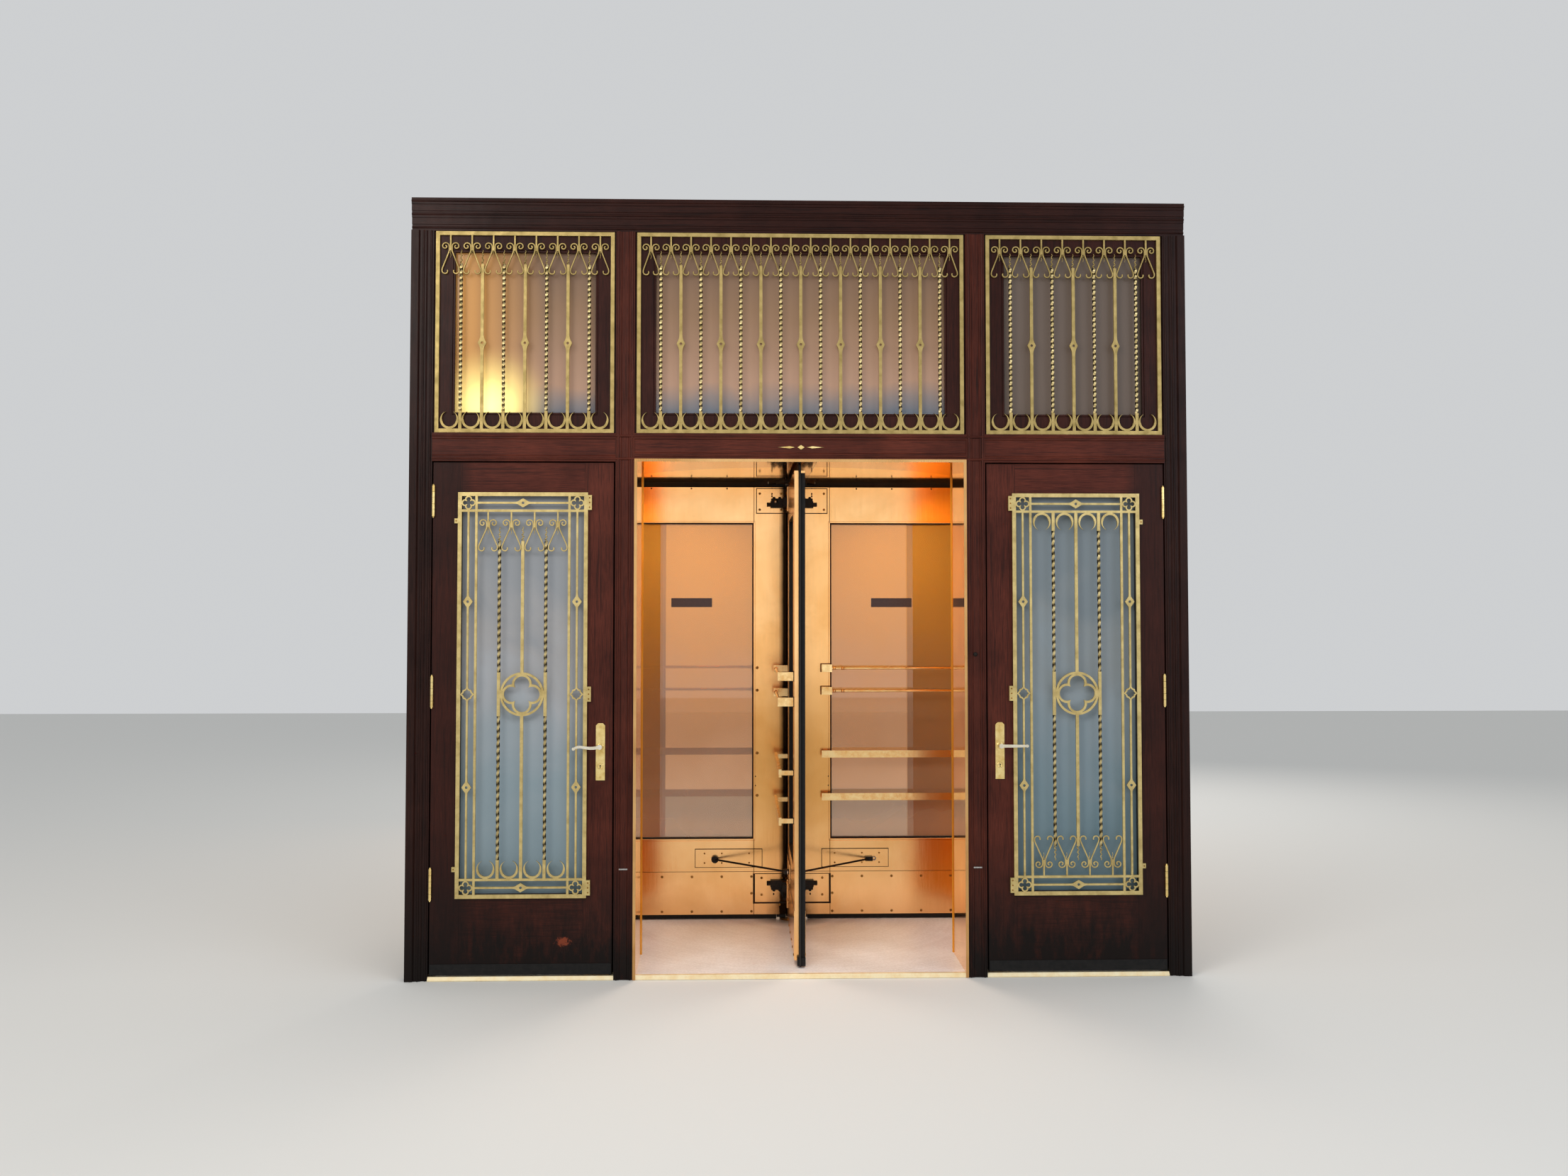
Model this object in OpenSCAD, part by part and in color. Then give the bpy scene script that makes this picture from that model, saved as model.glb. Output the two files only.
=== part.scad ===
// Four-wing revolving door in a timber entrance screen with two hinged side doors.
// Axis of the rotor on Z, ground at Z 0, front of the screen towards -Y.

/* [Doorway] */
// Height of the finished drum floor above the ground
floor_t = 20; // [16:1:30]
// Clear height from the drum floor to the ceiling
clear_h = 2134; // [2050:1:2300]
// Half of the clear width of the mouth at the drum
mouth_half = 683; // [640:1:710]
// Depth of the straight reveal from the screen front to the drum
reveal_depth = 363; // [300:1:420]
// Step from the drum corner back to the reveal face
reveal_step = 5; // [3:1:10]
// Width of the metal trim on the front edge of the reveal
trim_w = 12; // [8:1:18]
// How far the trim stands out in front of the timber
trim_proud = 3; // [2:1:6]

/* [Drum] */
// Inner radius of the drum wall
drum_r = 1000; // [980:5:1100]
// Thickness of the curved drum wall
drum_wall = 50; // [40:1:70]
// Thickness of the reveal panel behind the timber screen
reveal_t = 30; // [20:1:45]
// Thickness of the ceiling sheet
ceiling_t = 12; // [8:1:20]
// Height of the cornice round the drum top
cornice_h = 100; // [70:1:110]
// How far the cornice stands out past the drum wall
cornice_proud = 15; // [8:1:30]
// Thickness of the dust cover on top of the drum
cover_t = 12; // [8:1:20]
// Width of the end posts at the rear mouth
rear_jamb = 40; // [30:1:60]
// Width of the brass edge of the floor
sill_w = 18; // [12:1:30]

/* [Timber screen] */
// Depth of the timber screen, front to back
screen_depth = 100; // [90:1:130]
// Width of each mullion beside the mouth
mullion_w = 79; // [70:1:100]
// Width of each outer post
post_w = 93; // [80:1:120]
// Height of the transom rail
rail_h = 119; // [100:1:150]
// Height of the transom lights
light_h = 855; // [700:5:1000]
// Height of the moulded head
head_h = 137; // [110:1:180]
// How far the outermost moulding stands out
moulding_proud = 6; // [3:1:10]
// Radius of the half-round beads
bead_r = 4.5; // [3:0.5:6]
// Width of the members of the transom sashes
sash_w = 86; // [60:1:110]
// Setback of the transom sashes from the timber front
sash_back = 20; // [14:1:28]
// Thickness of the glass
glass_t = 8; // [5:1:12]
// Depth of the grooves that hold the glass
glass_lap = 9; // [6:1:14]

/* [Side doors] */
// Width of each door leaf
leaf_w = 753; // [700:1:850]
// Thickness of each door leaf
leaf_t = 50; // [44:1:54]
// Setback of the leaf from the timber front
leaf_back = 14; // [10:1:16]
// Gap at the lock edge of the leaf
lock_gap = 8; // [8:0.5:10]
// Gap at the hinge edge and the head of the leaf
leaf_gap = 5; // [5:0.5:8]
// Width of the stop that the leaf closes on
stop_lap = 12; // [8:1:18]
// Height of the brass threshold under each leaf
threshold_h = 16; // [10:1:18]
// Gap between the threshold and the leaf
sole_gap = 6; // [5:1:10]
// Height of the black kick strip
kick_strip_h = 45; // [30:1:80]
// Height of each butt hinge
butt_h = 127; // [100:1:150]
// Height of the lowest hinge's middle above the foot of the leaf
hinge_low = 373; // [250:1:400]
// Distance of the highest hinge's middle below the head of the leaf
hinge_high = 162; // [120:1:250]
// Radius of the hinge knuckles
knuckle_r = 7; // [5:0.5:9]
// Height of the lock plate
lock_plate_h = 237; // [200:1:280]
// Width of the lock plate
lock_plate_w = 38; // [30:1:50]
// Height of the lever spindle above the drum floor
lever_z = 943; // [900:1:1050]
// Distance of the lever spindle from the lock edge
lever_in = 50; // [40:1:60]
// Length of the lever grip
lever_l = 108; // [90:1:130]

/* [Grilles] */
// Width of the door grille
door_grille_w = 541; // [480:1:560]
// Height of the leaf's bottom rail, up to the door grille
leaf_low_rail = 316; // [280:1:360]
// Height of the leaf's top rail, down to the door grille
leaf_top_rail = 126; // [100:1:150]
// Width of the grille frame bars
frame_bar = 16; // [12:1:20]
// Width of the thin inner bars
thin_bar = 10; // [8:1:12]
// Width of the plain uprights
upright = 13; // [10:1:15]
// Side of the square bar that the twisted uprights are made from
twist_bar = 10.6; // [8:0.2:12]
// Length over which a twisted upright turns by a quarter
twist_step = 39; // [30:1:50]
// Width of the border strip round the door grille
border_w = 72; // [60:1:90]
// Outer diameter of the open rings
ring_d = 76; // [60:1:80]
// Width of the open rings at the foot, from which they taper to their horns
ring_bar = 9.5; // [8:0.5:11]
// Width of the flat bar of the scrolls
scroll_bar = 4.4; // [3.6:0.2:5]
// Length of the stems that the scrolls hang from
stem_l = 60; // [54:1:66]
// Depth of the scrolls below the top bar
scroll_h = 163; // [155:1:175]
// Outer diameter of the medallion
medallion_d = 182; // [150:1:200]
// Number of open rings in a side transom grille
side_rings = 8; // [6:1:8]
// Number of open rings in the centre transom grille
centre_rings = 16; // [12:1:17]
// Margin of the transom grilles inside their bay
grille_margin = 8; // [4:1:20]

/* [Rotor] */
// Gap between the rotor and the drum wall, floor and ceiling
run_gap = 5; // [5:1:10]
// Thickness of each wing
wing_t = 45; // [38:1:50]
// Radius of the centre shaft
shaft_r = 28.7; // [26:0.1:35]
// Seat clearance between the shaft and the wings
seat = 0.3; // [0.2:0.1:0.5]
// Width of the inner stile of a wing
inner_stile = 159; // [120:1:180]
// Width of the outer stile of a wing
outer_stile = 156; // [120:1:180]
// Height of the top rail of a wing
wing_top_rail = 175; // [120:1:200]
// Height of the bottom rail of a wing above its kick plate
wing_low_rail = 159; // [120:1:180]
// Height of the kick plate on a wing
kick_h = 206; // [150:1:240]
// Width of the weather strip on the outer edge
strip_w = 34; // [25:1:45]
// Height of the brushes above and below a wing
brush_h = 20; // [14:1:30]
// Height of each hanger plate
hanger_h = 118; // [100:1:135]
// Reach of each hanger plate from the axis
hanger_reach = 172; // [150:1:185]
// Reach of the black bracket arms from the axis, without their bolts
arm_reach = 105; // [98:1:120]
// Width of the black channel that holds the outer weather strip
channel_w = 27; // [20:1:30]
// Radius on the wings where the stay rods are hooked
stay_r = 375; // [300:5:420]
// Height of the stay rods above the drum floor
stay_z = 294; // [270:1:330]
// Distance of the push bars from the face of the wing
push_stand = 60; // [50:1:75]
// Height of the lower round push bar above the drum floor
push_round_z = 1113; // [1050:1:1200]
// Distance between the two round push bars
push_round_step = 110; // [80:1:140]
// Height of the lower flat push bar above the drum floor
push_flat_z = 601; // [550:1:650]
// Distance between the two flat push bars
push_flat_step = 206; // [170:1:240]
// Radius of the round push bars
push_r = 6.5; // [5:0.5:9]
// Height of the flat push bars
push_flat_h = 34; // [25:1:45]

/* [Hidden] */
$fn = 48;
sides = ["left", "right"];
wings = ["right", "rear", "left", "front"];
drum_parts = ["front_right", "rear_right", "rear_left", "front_left"];
function side_nodes(ends) = [for (e = ends, s = sides) str(s, "_", e)];

// Plan of the screen, measured from the rotor axis
chord = sqrt(drum_r * drum_r - mouth_half * mouth_half);
front_y = -(chord + reveal_depth);
back_y = front_y + screen_depth;
corner_a = atan2(chord, mouth_half);
reveal_x = mouth_half + reveal_step;
portal_x = reveal_x + trim_w;
reveal_back_x = reveal_x + reveal_t;
mullion_x = portal_x + mullion_w;
leaf_in_x = mullion_x + lock_gap;
leaf_out_x = leaf_in_x + leaf_w;
post_x = leaf_out_x + leaf_gap;
screen_x = post_x + post_w;
leaf_mid_x = (leaf_in_x + leaf_out_x) / 2;
drum_out_r = drum_r + drum_wall;
canopy_r = drum_out_r + cornice_proud;

// Heights above the ground
soffit_z = floor_t + clear_h;
rail_top_z = soffit_z + rail_h;
light_top_z = rail_top_z + light_h;
top_z = light_top_z + head_h;
leaf_bot_z = threshold_h + sole_gap;
leaf_top_z = soffit_z - leaf_gap;
door_grille_z = leaf_bot_z + leaf_low_rail;
door_grille_h = leaf_top_z - leaf_top_rail - door_grille_z;
roof_z = soffit_z + ceiling_t;

// Depths measured back from the timber front
stop_d = leaf_back + leaf_t + leaf_gap;
leaf_face_y = front_y + leaf_back;
hinge_y = leaf_face_y - knuckle_r;
hinge_x = post_x - knuckle_r - seat;
lever_x = leaf_in_x + lever_in;
lock_plate_t = 6;
lock_plate_rise = 96;
grille_t = 12;
grille_lift = 2;
stem_w = 7;
collar_w = 22;
collar_h = 9;
collar_rise = 18;
tip_l = 42;
head_drop = 4;
joint_swell = 0.35;
strip_bar = 8;
medallion_bar = 9.5;
foil_bar = 5.5;
hook_bite = 0.6;
transom_eye = [36, 70];
side_eye = [40, 60];
head_eye = [38, 66];
leaf_grille_t = 10;
leaf_grille_lift = 6;
leaf_grille_y = leaf_face_y - leaf_grille_lift - leaf_grille_t;
leaf_grille_mid = door_grille_z + door_grille_h / 2;
catch_w = 20;
catch_h = 62;
catch_in = 42;
pivot_w = 14;
pivot_h = 20;
pivot_in = 120;
block_lap = 4;
sash_rebate = 8;
hinge_plate_t = 2;
hinge_plate_d = 0.6 * leaf_t;
kick_strip_t = 3;
ring_gap = 29;
eye_r = 5.5;
eye_at = 0.555;
lever_stand = 42;
lever_hub_r = 10;
grip_t = 11;
grip_w = 13;
grip_wave = 5;
spindle_r = 4;

// Wing of the rotor, drawn along +X with its thickness about Y 0
wing_in = shaft_r + seat;
wing_tip = drum_r - run_gap;
wing_out = wing_tip - strip_w;
wing_bot_z = floor_t + run_gap + brush_h;
wing_top_z = soffit_z - run_gap - brush_h;
glass_in = wing_in + inner_stile;
glass_out = wing_out - outer_stile;
glass_bot_z = wing_bot_z + kick_h + wing_low_rail;
glass_top_z = wing_top_z - wing_top_rail;
face_y = wing_t / 2;
bearing_r = 60;
bearing_h = 8;
pin_r = 15;
pin_gap = 0.3;
ceiling_plate_w = 150;
ceiling_plate_t = 8;
strip_t = 9;
plate_t = 5;
kick_t = 2;
hanger_drop = 33;
low_plate_rise = 86;
low_plate_h = 1.14 * hanger_h;
low_plate_reach = hanger_reach + 8;
wing_rebate = 10;
rebate_d = 5;
channel_d = 22;
channel_drop = 12;
stay_in = 147;
stay_out = 470;
stay_plate_h = 85;
stay_plate_low = 39;
push_in = 143;
push_block_l = 50;
push_block_h = 37;
push_block_lap = 4;
push_flat_t = 12;
push_leg = 20;
arm_h = 33;
arm_t = 20;
clamp_in = 46;
clamp_h = 13;
arm_bolt_r = 10;
arm_bolt_l = 18;
top_arm_drop = 127;
low_arm_rise = 193;
web_t = 10;
web_foot = 9;
web_h = 65;
rod_r = 4.5;
rod_off = 14;
knob_r = 17;
knob_l = 22;
hook_w = 36;
hook_h = 20;

module both_sides() {
    children();
    mirror([1, 0, 0]) children();
}

module on_side(side) {
    if (side == "left") mirror([1, 0, 0]) children();
    else children();
}

module box(x0, x1, y0, y1, z0, z1) {
    translate([x0, y0, z0]) cube([x1 - x0, y1 - y0, z1 - z0]);
}

// A frame in the XZ plane with an opening and a groove for its glass
module glazed_frame(x0, x1, z0, z1, gx0, gx1, gz0, gz1, y0, y1, glass_y) {
    difference() {
        box(x0, x1, y0, y1, z0, z1);
        box(gx0, gx1, y0 - 1, y1 + 1, gz0, gz1);
        pane(gx0, gx1, gz0, gz1, glass_y);
    }
}

module pane(gx0, gx1, gz0, gz1, glass_y) {
    box(gx0 - glass_lap, gx1 + glass_lap, glass_y, glass_y + glass_t, gz0 - glass_lap, gz1 + glass_lap);
}

// Section of an outer post: steps towards the opening, two beads and the door stop.
// X is the distance from the opening, Y the depth behind the timber front.
module post_section() {
    w = post_w;
    band = w / 3;
    inner = leaf_back - moulding_proud;
    polygon([[0, inner], [band - 6, inner], [band, 2], [2 * band - 6, 2], [2 * band, -moulding_proud],
        [w, -moulding_proud], [w, screen_depth], [-leaf_gap - stop_lap, screen_depth],
        [-leaf_gap - stop_lap, stop_d], [0, stop_d]]);
    translate([band / 3, inner]) circle(bead_r);
    translate([4 * band / 3, 2]) circle(bead_r);
}

module mullion_section() {
    w = mullion_w;
    edge = 5 * bead_r;
    polygon([[0, 0], [edge, 0], [edge + 3, 3], [w - edge - 3, 3], [w - edge, 0], [w, 0], [w, stop_d],
        [w + lock_gap + stop_lap, stop_d], [w + lock_gap + stop_lap, screen_depth], [0, screen_depth]]);
    for (x = [2.4 * bead_r, w - 2.4 * bead_r]) translate([x, 0]) circle(bead_r);
}

// Sections of rails, with X as depth behind the front and Y as height
module rail_section(h, depth) {
    polygon([[0, 0], [depth, 0], [depth, h], [0, h], [0, h - 5 * bead_r], [4, h - 6 * bead_r],
        [4, 6 * bead_r], [0, 5 * bead_r]]);
    for (z = [2.6 * bead_r, h - 2.6 * bead_r]) translate([0, z]) circle(bead_r);
}

module head_section() {
    h = head_h;
    n = 5;
    step = h / n;
    rise = (leaf_back + moulding_proud) / n;
    points = [for (i = [n - 1:-1:0], k = [1, 0]) [leaf_back - rise * (i + 1), step * (i + k)]];
    polygon(concat([[screen_depth, 0], [screen_depth, h]], points));
    for (i = [0:2:n - 1]) translate([leaf_back - rise * (i + 1), step * (i + 0.5)]) circle(bead_r);
}

// Lays a section out along X between two places
module along_x(x0, x1) {
    translate([x0, front_y, 0]) rotate([90, 0, 90]) linear_extrude(x1 - x0) children();
}

module head_rail() {
    color("#4a2018") translate([0, 0, light_top_z]) along_x(-screen_x, screen_x) head_section();
}

module outer_post(side) {
    color("#4a2018") on_side(side) translate([post_x, front_y, 0])
        linear_extrude(light_top_z) post_section();
}

module mullion(side) {
    color("#4a2018") on_side(side) translate([portal_x, front_y, 0])
        linear_extrude(light_top_z) mullion_section();
}

module transom_rail() {
    color("#4a2018") {
        translate([0, 0, soffit_z + ceiling_t]) along_x(-portal_x, portal_x)
            rail_section(rail_h - ceiling_t, screen_depth);
        both_sides() {
            translate([0, 0, soffit_z]) along_x(mullion_x, post_x) rail_section(rail_h, stop_d);
            box(leaf_in_x + stop_lap, leaf_out_x - stop_lap, front_y + stop_d, back_y,
                leaf_top_z - stop_lap, rail_top_z);
        }
    }
}

function sash_y() = front_y + sash_back;
function sash_t() = stop_d - sash_back;
function light_glass_y() = sash_y() + sash_t() / 2;

module light_pane(x0, x1) {
    pane(x0 + sash_w, x1 - sash_w, rail_top_z + sash_w, light_top_z - sash_w, light_glass_y());
}

module sash(x0, x1) {
    y0 = sash_y();
    y1 = y0 + sash_t();
    bead = sash_rebate;
    difference() {
        box(x0, x1, y0, y1, rail_top_z, light_top_z);
        box(x0 + sash_w, x1 - sash_w, y0 - 1, y1 + 1, rail_top_z + sash_w, light_top_z - sash_w);
        light_pane(x0, x1);
        box(x0 + sash_w - bead, x1 - sash_w + bead, y0 - 1, y0 + bead,
            rail_top_z + sash_w - bead, light_top_z - sash_w + bead);
    }
}

module transom_sash(side) {
    color("#3d1a14") on_side(side) sash(mullion_x, post_x);
}

module centre_transom_sash() {
    color("#3d1a14") sash(-portal_x, portal_x);
}

module transom_glass() {
    color("#d8c0a8", 0.6) {
        light_pane(-portal_x, portal_x);
        both_sides() light_pane(mullion_x, post_x);
    }
}

module ring_of(d, w) {
    difference() {
        circle(d / 2);
        circle(d / 2 - w);
    }
}

// A crescent of width w at its foot that stands on the point below it, with its horns up
module open_ring(d, w, gap) {
    r = d / 2;
    mouth = 0.815 * r;
    rise = sqrt(r * r - gap * gap / 4) - sqrt(mouth * mouth - gap * gap / 4);
    translate([0, r]) difference() {
        circle(r);
        circle(r - w);
        translate([0, rise]) circle(mouth);
    }
}

module frame_2d(w, h, bar) {
    difference() {
        square([w, h], center = true);
        square([w - 2 * bar, h - 2 * bar], center = true);
    }
}

module lozenge(w, h) {
    polygon([[-w / 2, 0], [0, -h / 2], [w / 2, 0], [0, h / 2]]);
}

// A split in an upright of width b: the bar flares into a lozenge with a hole
module split_eye(w, h, b) {
    side = [[b / 2, -h / 2], [b / 2 + 1, -0.36 * h], [0.3 * w, -0.2 * h], [w / 2, 0],
        [0.3 * w, 0.2 * h], [b / 2 + 1, 0.36 * h], [b / 2, h / 2]];
    difference() {
        polygon(concat(side, [for (i = [len(side) - 1:-1:0]) [-side[i][0], side[i][1]]]));
        circle(eye_r);
    }
}

// A lozenge with bulging sides, and a ring of width b in that shape
module bulged(w, h) {
    lozenge(w, h);
    for (x = [-1, 1], y = [-1, 1]) translate([x * w / 5, y * h / 5]) circle(0.13 * w);
}

module bulged_eye(w, h, b) {
    difference() {
        bulged(w, h);
        bulged(w - 3 * b, h - 3 * b);
    }
}

// Part of a flat ring from angle a0 to a1
module arc_bar(r, w, a0, a1) {
    far = 2 * (r + w);
    steps = max(1, ceil((a1 - a0) / 60));
    intersection() {
        difference() {
            circle(r + w / 2);
            circle(r - w / 2);
        }
        polygon(concat([[0, 0]],
            [for (i = [0:steps]) let (a = a0 + (a1 - a0) * i / steps) far * [cos(a), sin(a)]]));
    }
}

module bar_between(a, b, w) {
    d = b - a;
    n = [-d[1], d[0]] / norm(d) * w / 2;
    polygon([a - n, b - n, b + n, a + n]);
}

// One scroll on the right of its stem: a curl at the top, a slanting run that passes the stem and
// goes down to the upright at X reach, and a hook at the foot. Y 0 is the underside of the top bar.
module scroll(reach) {
    w = scroll_bar;
    curl = 14;
    hook = 12;
    top = [stem_w / 2 + 5.5 + curl, -curl - stem_l / 2];
    low = [reach - upright / 2 - w / 2 + hook_bite - hook, hook + w / 2 - scroll_h];
    d = low - top;
    a = atan2(d[1], d[0]) + asin((curl + hook) / norm(d));
    n = [-sin(a), cos(a)];
    translate(top) {
        arc_bar(curl, w, 0, a + 270);
        translate([curl / 4, 0]) arc_bar(curl * 3 / 4, w, 180, 360);
        arc_bar(curl / 2, w, 90, 180);
        translate([0, curl / 2]) circle(0.75 * w);
        for (x = [-curl / 2, curl]) translate([x, 0]) circle(w / 2 + joint_swell);
        translate(-curl * n) circle(w / 2 + joint_swell);
    }
    bar_between(top - curl * n, low + hook * n, w);
    translate(low) {
        arc_bar(hook, w, -200, a + 90);
        translate(hook * [cos(-200), sin(-200)]) circle(0.85 * w);
        translate(hook * n) circle(w / 2 + joint_swell);
    }
}

// A thin point that ends an upright above its collar, or a stem below it
module tip(l, w) {
    polygon([[-w / 2, 0], [w / 2, 0], [w / 2, l * 0.6], [0, l], [-w / 2, l * 0.6]]);
}

// Hanging row of scroll pairs with their stems, collars and points.
// Y 0 is the underside of the top bar, and the row is centred on X 0.
module scroll_row(pitch, count) {
    for (i = [0:count - 1]) translate([(i - (count - 1) / 2) * pitch, 0]) {
        translate([-stem_w / 2, -stem_l]) square([stem_w, stem_l + 1]);
        translate([-collar_w / 2, -stem_l]) square([collar_w, collar_h]);
        translate([0, 1 - stem_l]) rotate(180) tip(tip_l, stem_w);
        scroll(pitch / 2);
        mirror([1, 0]) scroll(pitch / 2);
    }
}

// Upper end of an upright under a scroll row: collar, plain part and point
module upright_head() {
    translate([-collar_w / 2, collar_rise - scroll_h]) square([collar_w, collar_h]);
    translate([-upright / 2, -scroll_h - head_drop])
        square([upright, head_drop + collar_rise + 2 * collar_h]);
    translate([0, collar_rise + 2 * collar_h - 1 - scroll_h]) tip(tip_l, stem_w);
}

// Transom grille in its own plane, centred on 0: frame, open rings, scroll row and uprights.
// The odd uprights are twisted between their plain foot and head, in twisted_uprights.
module transom_grille_2d(w, h, rings) {
    pitch = (w - 2 * frame_bar) / rings;
    foot = -h / 2 + frame_bar;
    frame_2d(w, h, frame_bar);
    for (i = [0:rings - 1]) translate([(i - (rings - 1) / 2) * pitch, foot - 1])
        open_ring(ring_d, ring_bar, ring_gap);
    translate([0, h / 2 - frame_bar]) scroll_row(pitch, rings);
    for (i = [1:rings - 1]) translate([(i - rings / 2) * pitch, 0]) {
        translate([0, h / 2 - frame_bar]) upright_head();
        if (i % 2 == 0) difference() {
            translate([-upright / 2, foot - 1]) square([upright, h - 2 * frame_bar - scroll_h]);
            translate([0, h * (0.5 - eye_at)]) circle(eye_r);
        }
        else translate([-upright / 2, foot - 1]) square([upright, ring_d + 1]);
        if (i % 2 == 0) translate([0, h * (0.5 - eye_at)]) split_eye(transom_eye[0], transom_eye[1], upright);
    }
}

// A square bar twisted by whole quarters between two heights
module twisted_bar(x, y, z0, z1) {
    quarters = max(1, round((z1 - z0) / twist_step));
    translate([x, y, z0]) linear_extrude(z1 - z0, twist = 90 * quarters, slices = 3 * quarters, segments = 4)
        square(twist_bar, center = true);
}

// Stands a flat drawing up in the XZ plane, with its front at Y y0
module upright_plate(y0, t) {
    translate([0, y0 + t, 0]) rotate([90, 0, 0]) linear_extrude(t) children();
}

function grille_h() = light_h - 2 * grille_lift;

module transom_grille_on(x0, x1, rings) {
    translate([(x0 + x1) / 2, 0, (rail_top_z + light_top_z) / 2])
        upright_plate(sash_y() - grille_t, grille_t)
            transom_grille_2d(x1 - x0 - 2 * grille_margin, grille_h(), rings);
}

module twisted_uprights(x0, x1, rings) {
    pitch = (x1 - x0 - 2 * grille_margin - 2 * frame_bar) / rings;
    foot = rail_top_z + grille_lift + frame_bar;
    for (i = [1:2:rings - 1])
        twisted_bar((x0 + x1) / 2 + (i - rings / 2) * pitch, sash_y() - grille_t / 2,
            foot + ring_d, foot + grille_h() - 2 * frame_bar - scroll_h - head_drop);
}

module transom_twisted_bars() {
    color("#b8a25a") {
        twisted_uprights(-portal_x, portal_x, centre_rings);
        both_sides() twisted_uprights(mullion_x, post_x, side_rings);
    }
}

module transom_grille(side) {
    color("#b8a25a") on_side(side) transom_grille_on(mullion_x, post_x, side_rings);
}

module centre_transom_grille() {
    color("#b8a25a") transom_grille_on(-portal_x, portal_x, centre_rings);
}

module threshold() {
    translate([mullion_x, 0, 0]) rotate([90, 0, 90]) linear_extrude(post_x - mullion_x)
        polygon([[front_y, 0], [front_y + stop_d, 0], [front_y + stop_d, threshold_h],
            [leaf_face_y - 4, threshold_h], [front_y, 4]]);
}

module door_thresholds() {
    color("#c9a44c") both_sides() threshold();
}

// Plan of the floor and the ceiling: the drum circle with a straight neck to the back of the screen
module drum_plan(r, half_w) {
    intersection() {
        union() {
            circle(r, $fn = 96);
            translate([-half_w, -2 * r]) square([2 * half_w, 2 * r]);
        }
        translate([-2 * r, back_y]) square([4 * r, 4 * r]);
    }
}

module drum_floor() {
    color("#d9c7a8") linear_extrude(floor_t) {
        drum_plan(drum_out_r, reveal_back_x);
        translate([-portal_x, front_y + sill_w]) square([2 * portal_x, screen_depth]);
    }
}

module front_sill() {
    color("#c9a44c") box(-portal_x, portal_x, front_y, front_y + sill_w, 0, floor_t);
}

// The reveal runs back to the radial end of the drum wall
module reveal(side) {
    k = chord / mouth_half;
    color("#e0a060") on_side(side) translate([0, 0, floor_t]) linear_extrude(clear_h)
        polygon([[reveal_x, front_y], [portal_x, front_y], [portal_x, back_y], [reveal_back_x, back_y],
            [reveal_back_x, -reveal_back_x * k - seat], [reveal_x, -reveal_x * k - seat]]);
}

// A flat post closes each rear end of the curved wall
module rear_jambs() {
    inset = 2;
    color("#e0a060") both_sides() rotate(corner_a)
        box(drum_r + inset, drum_out_r - inset, seat / 2, rear_jamb, floor_t, soffit_z);
}

module mouth_trim() {
    color("#f0b878") upright_plate(front_y - trim_proud, trim_proud) difference() {
        translate([-portal_x, 0]) square([2 * portal_x, soffit_z + ceiling_t]);
        translate([-reveal_x, -1]) square([2 * reveal_x, soffit_z + 1]);
    }
}

// Each side of the drum is two curved panels with a fine seam at their ends
module drum_wall(i) {
    start = i == 0 ? -corner_a : i == 1 ? 0 : i == 2 ? 180 - corner_a : 180;
    seam_a = 0.01;
    color("#d08a4a") translate([0, 0, floor_t])
        rotate_extrude(angle = corner_a - 2 * seam_a, start = start + seam_a, $fn = 120)
            translate([drum_r, 0]) square([drum_wall, clear_h]);
}

module canopy_plan(grow) {
    drum_plan(canopy_r + grow, reveal_back_x + cornice_proud + grow);
}

module drum_ceiling() {
    color("#e8b070") translate([0, 0, soffit_z]) difference() {
        linear_extrude(ceiling_t) {
            drum_plan(drum_out_r, reveal_back_x);
            translate([-portal_x, front_y]) square([2 * portal_x, screen_depth + 1]);
        }
        translate([0, 0, -1]) cylinder(r = pin_r + pin_gap, h = ceiling_t + 2);
    }
}

module drum_cornice() {
    color("#6b3320") translate([0, 0, roof_z]) linear_extrude(cornice_h) difference() {
        canopy_plan(0);
        difference() {
            canopy_plan(-cornice_proud - drum_wall / 2);
            translate([-canopy_r, back_y - 1]) square([2 * canopy_r, drum_wall / 2]);
        }
    }
}

module drum_cover() {
    color("#55504a") translate([0, 0, roof_z + cornice_h]) linear_extrude(cover_t) canopy_plan(0);
}

module ceiling_plate() {
    w = ceiling_plate_w;
    color("#d9a05c") translate([0, 0, soffit_z - ceiling_plate_t]) difference() {
        translate([-w / 2, -w / 2, 0]) cube([w, w, ceiling_plate_t]);
        translate([0, 0, -1]) cylinder(r = pin_r + pin_gap, h = ceiling_plate_t + 2);
    }
}

module floor_bearing() {
    color("#8a6a3c") translate([0, 0, floor_t]) difference() {
        cylinder(r = bearing_r, h = bearing_h);
        translate([0, 0, bearing_h / 4]) cylinder(r = pin_r + pin_gap, h = bearing_h);
    }
}

module centre_shaft() {
    bottom = floor_t + bearing_h + run_gap;
    top = soffit_z - ceiling_plate_t - run_gap;
    pin_bottom = floor_t + bearing_h / 4 + pin_gap;
    color("#2b2420") {
        translate([0, 0, bottom]) cylinder(r = shaft_r, h = top - bottom);
        translate([0, 0, pin_bottom]) cylinder(r = pin_r, h = soffit_z + ceiling_t / 2 - pin_bottom);
    }
}

// Places a wing's piece: 0 is the right wing, 1 the rear, 2 the left and 3 the front
module at_wing(i) {
    rotate(90 * i) children();
}

module each_wing() {
    for (i = [0:3]) at_wing(i) children();
}

module wing_pane() {
    pane(glass_in, glass_out, glass_bot_z, glass_top_z, -glass_t / 2);
}

module wing_frame(i) {
    r = wing_rebate;
    color("#e3a464") at_wing(i) difference() {
        box(wing_in, wing_out, -face_y, face_y, wing_bot_z, wing_top_z);
        box(glass_in, glass_out, -wing_t, wing_t, glass_bot_z, glass_top_z);
        wing_pane();
        for (y = [-face_y - 1, face_y - rebate_d]) box(glass_in - r, glass_out + r, y, y + rebate_d + 1,
            glass_bot_z - r, glass_top_z + r);
    }
}

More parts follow.
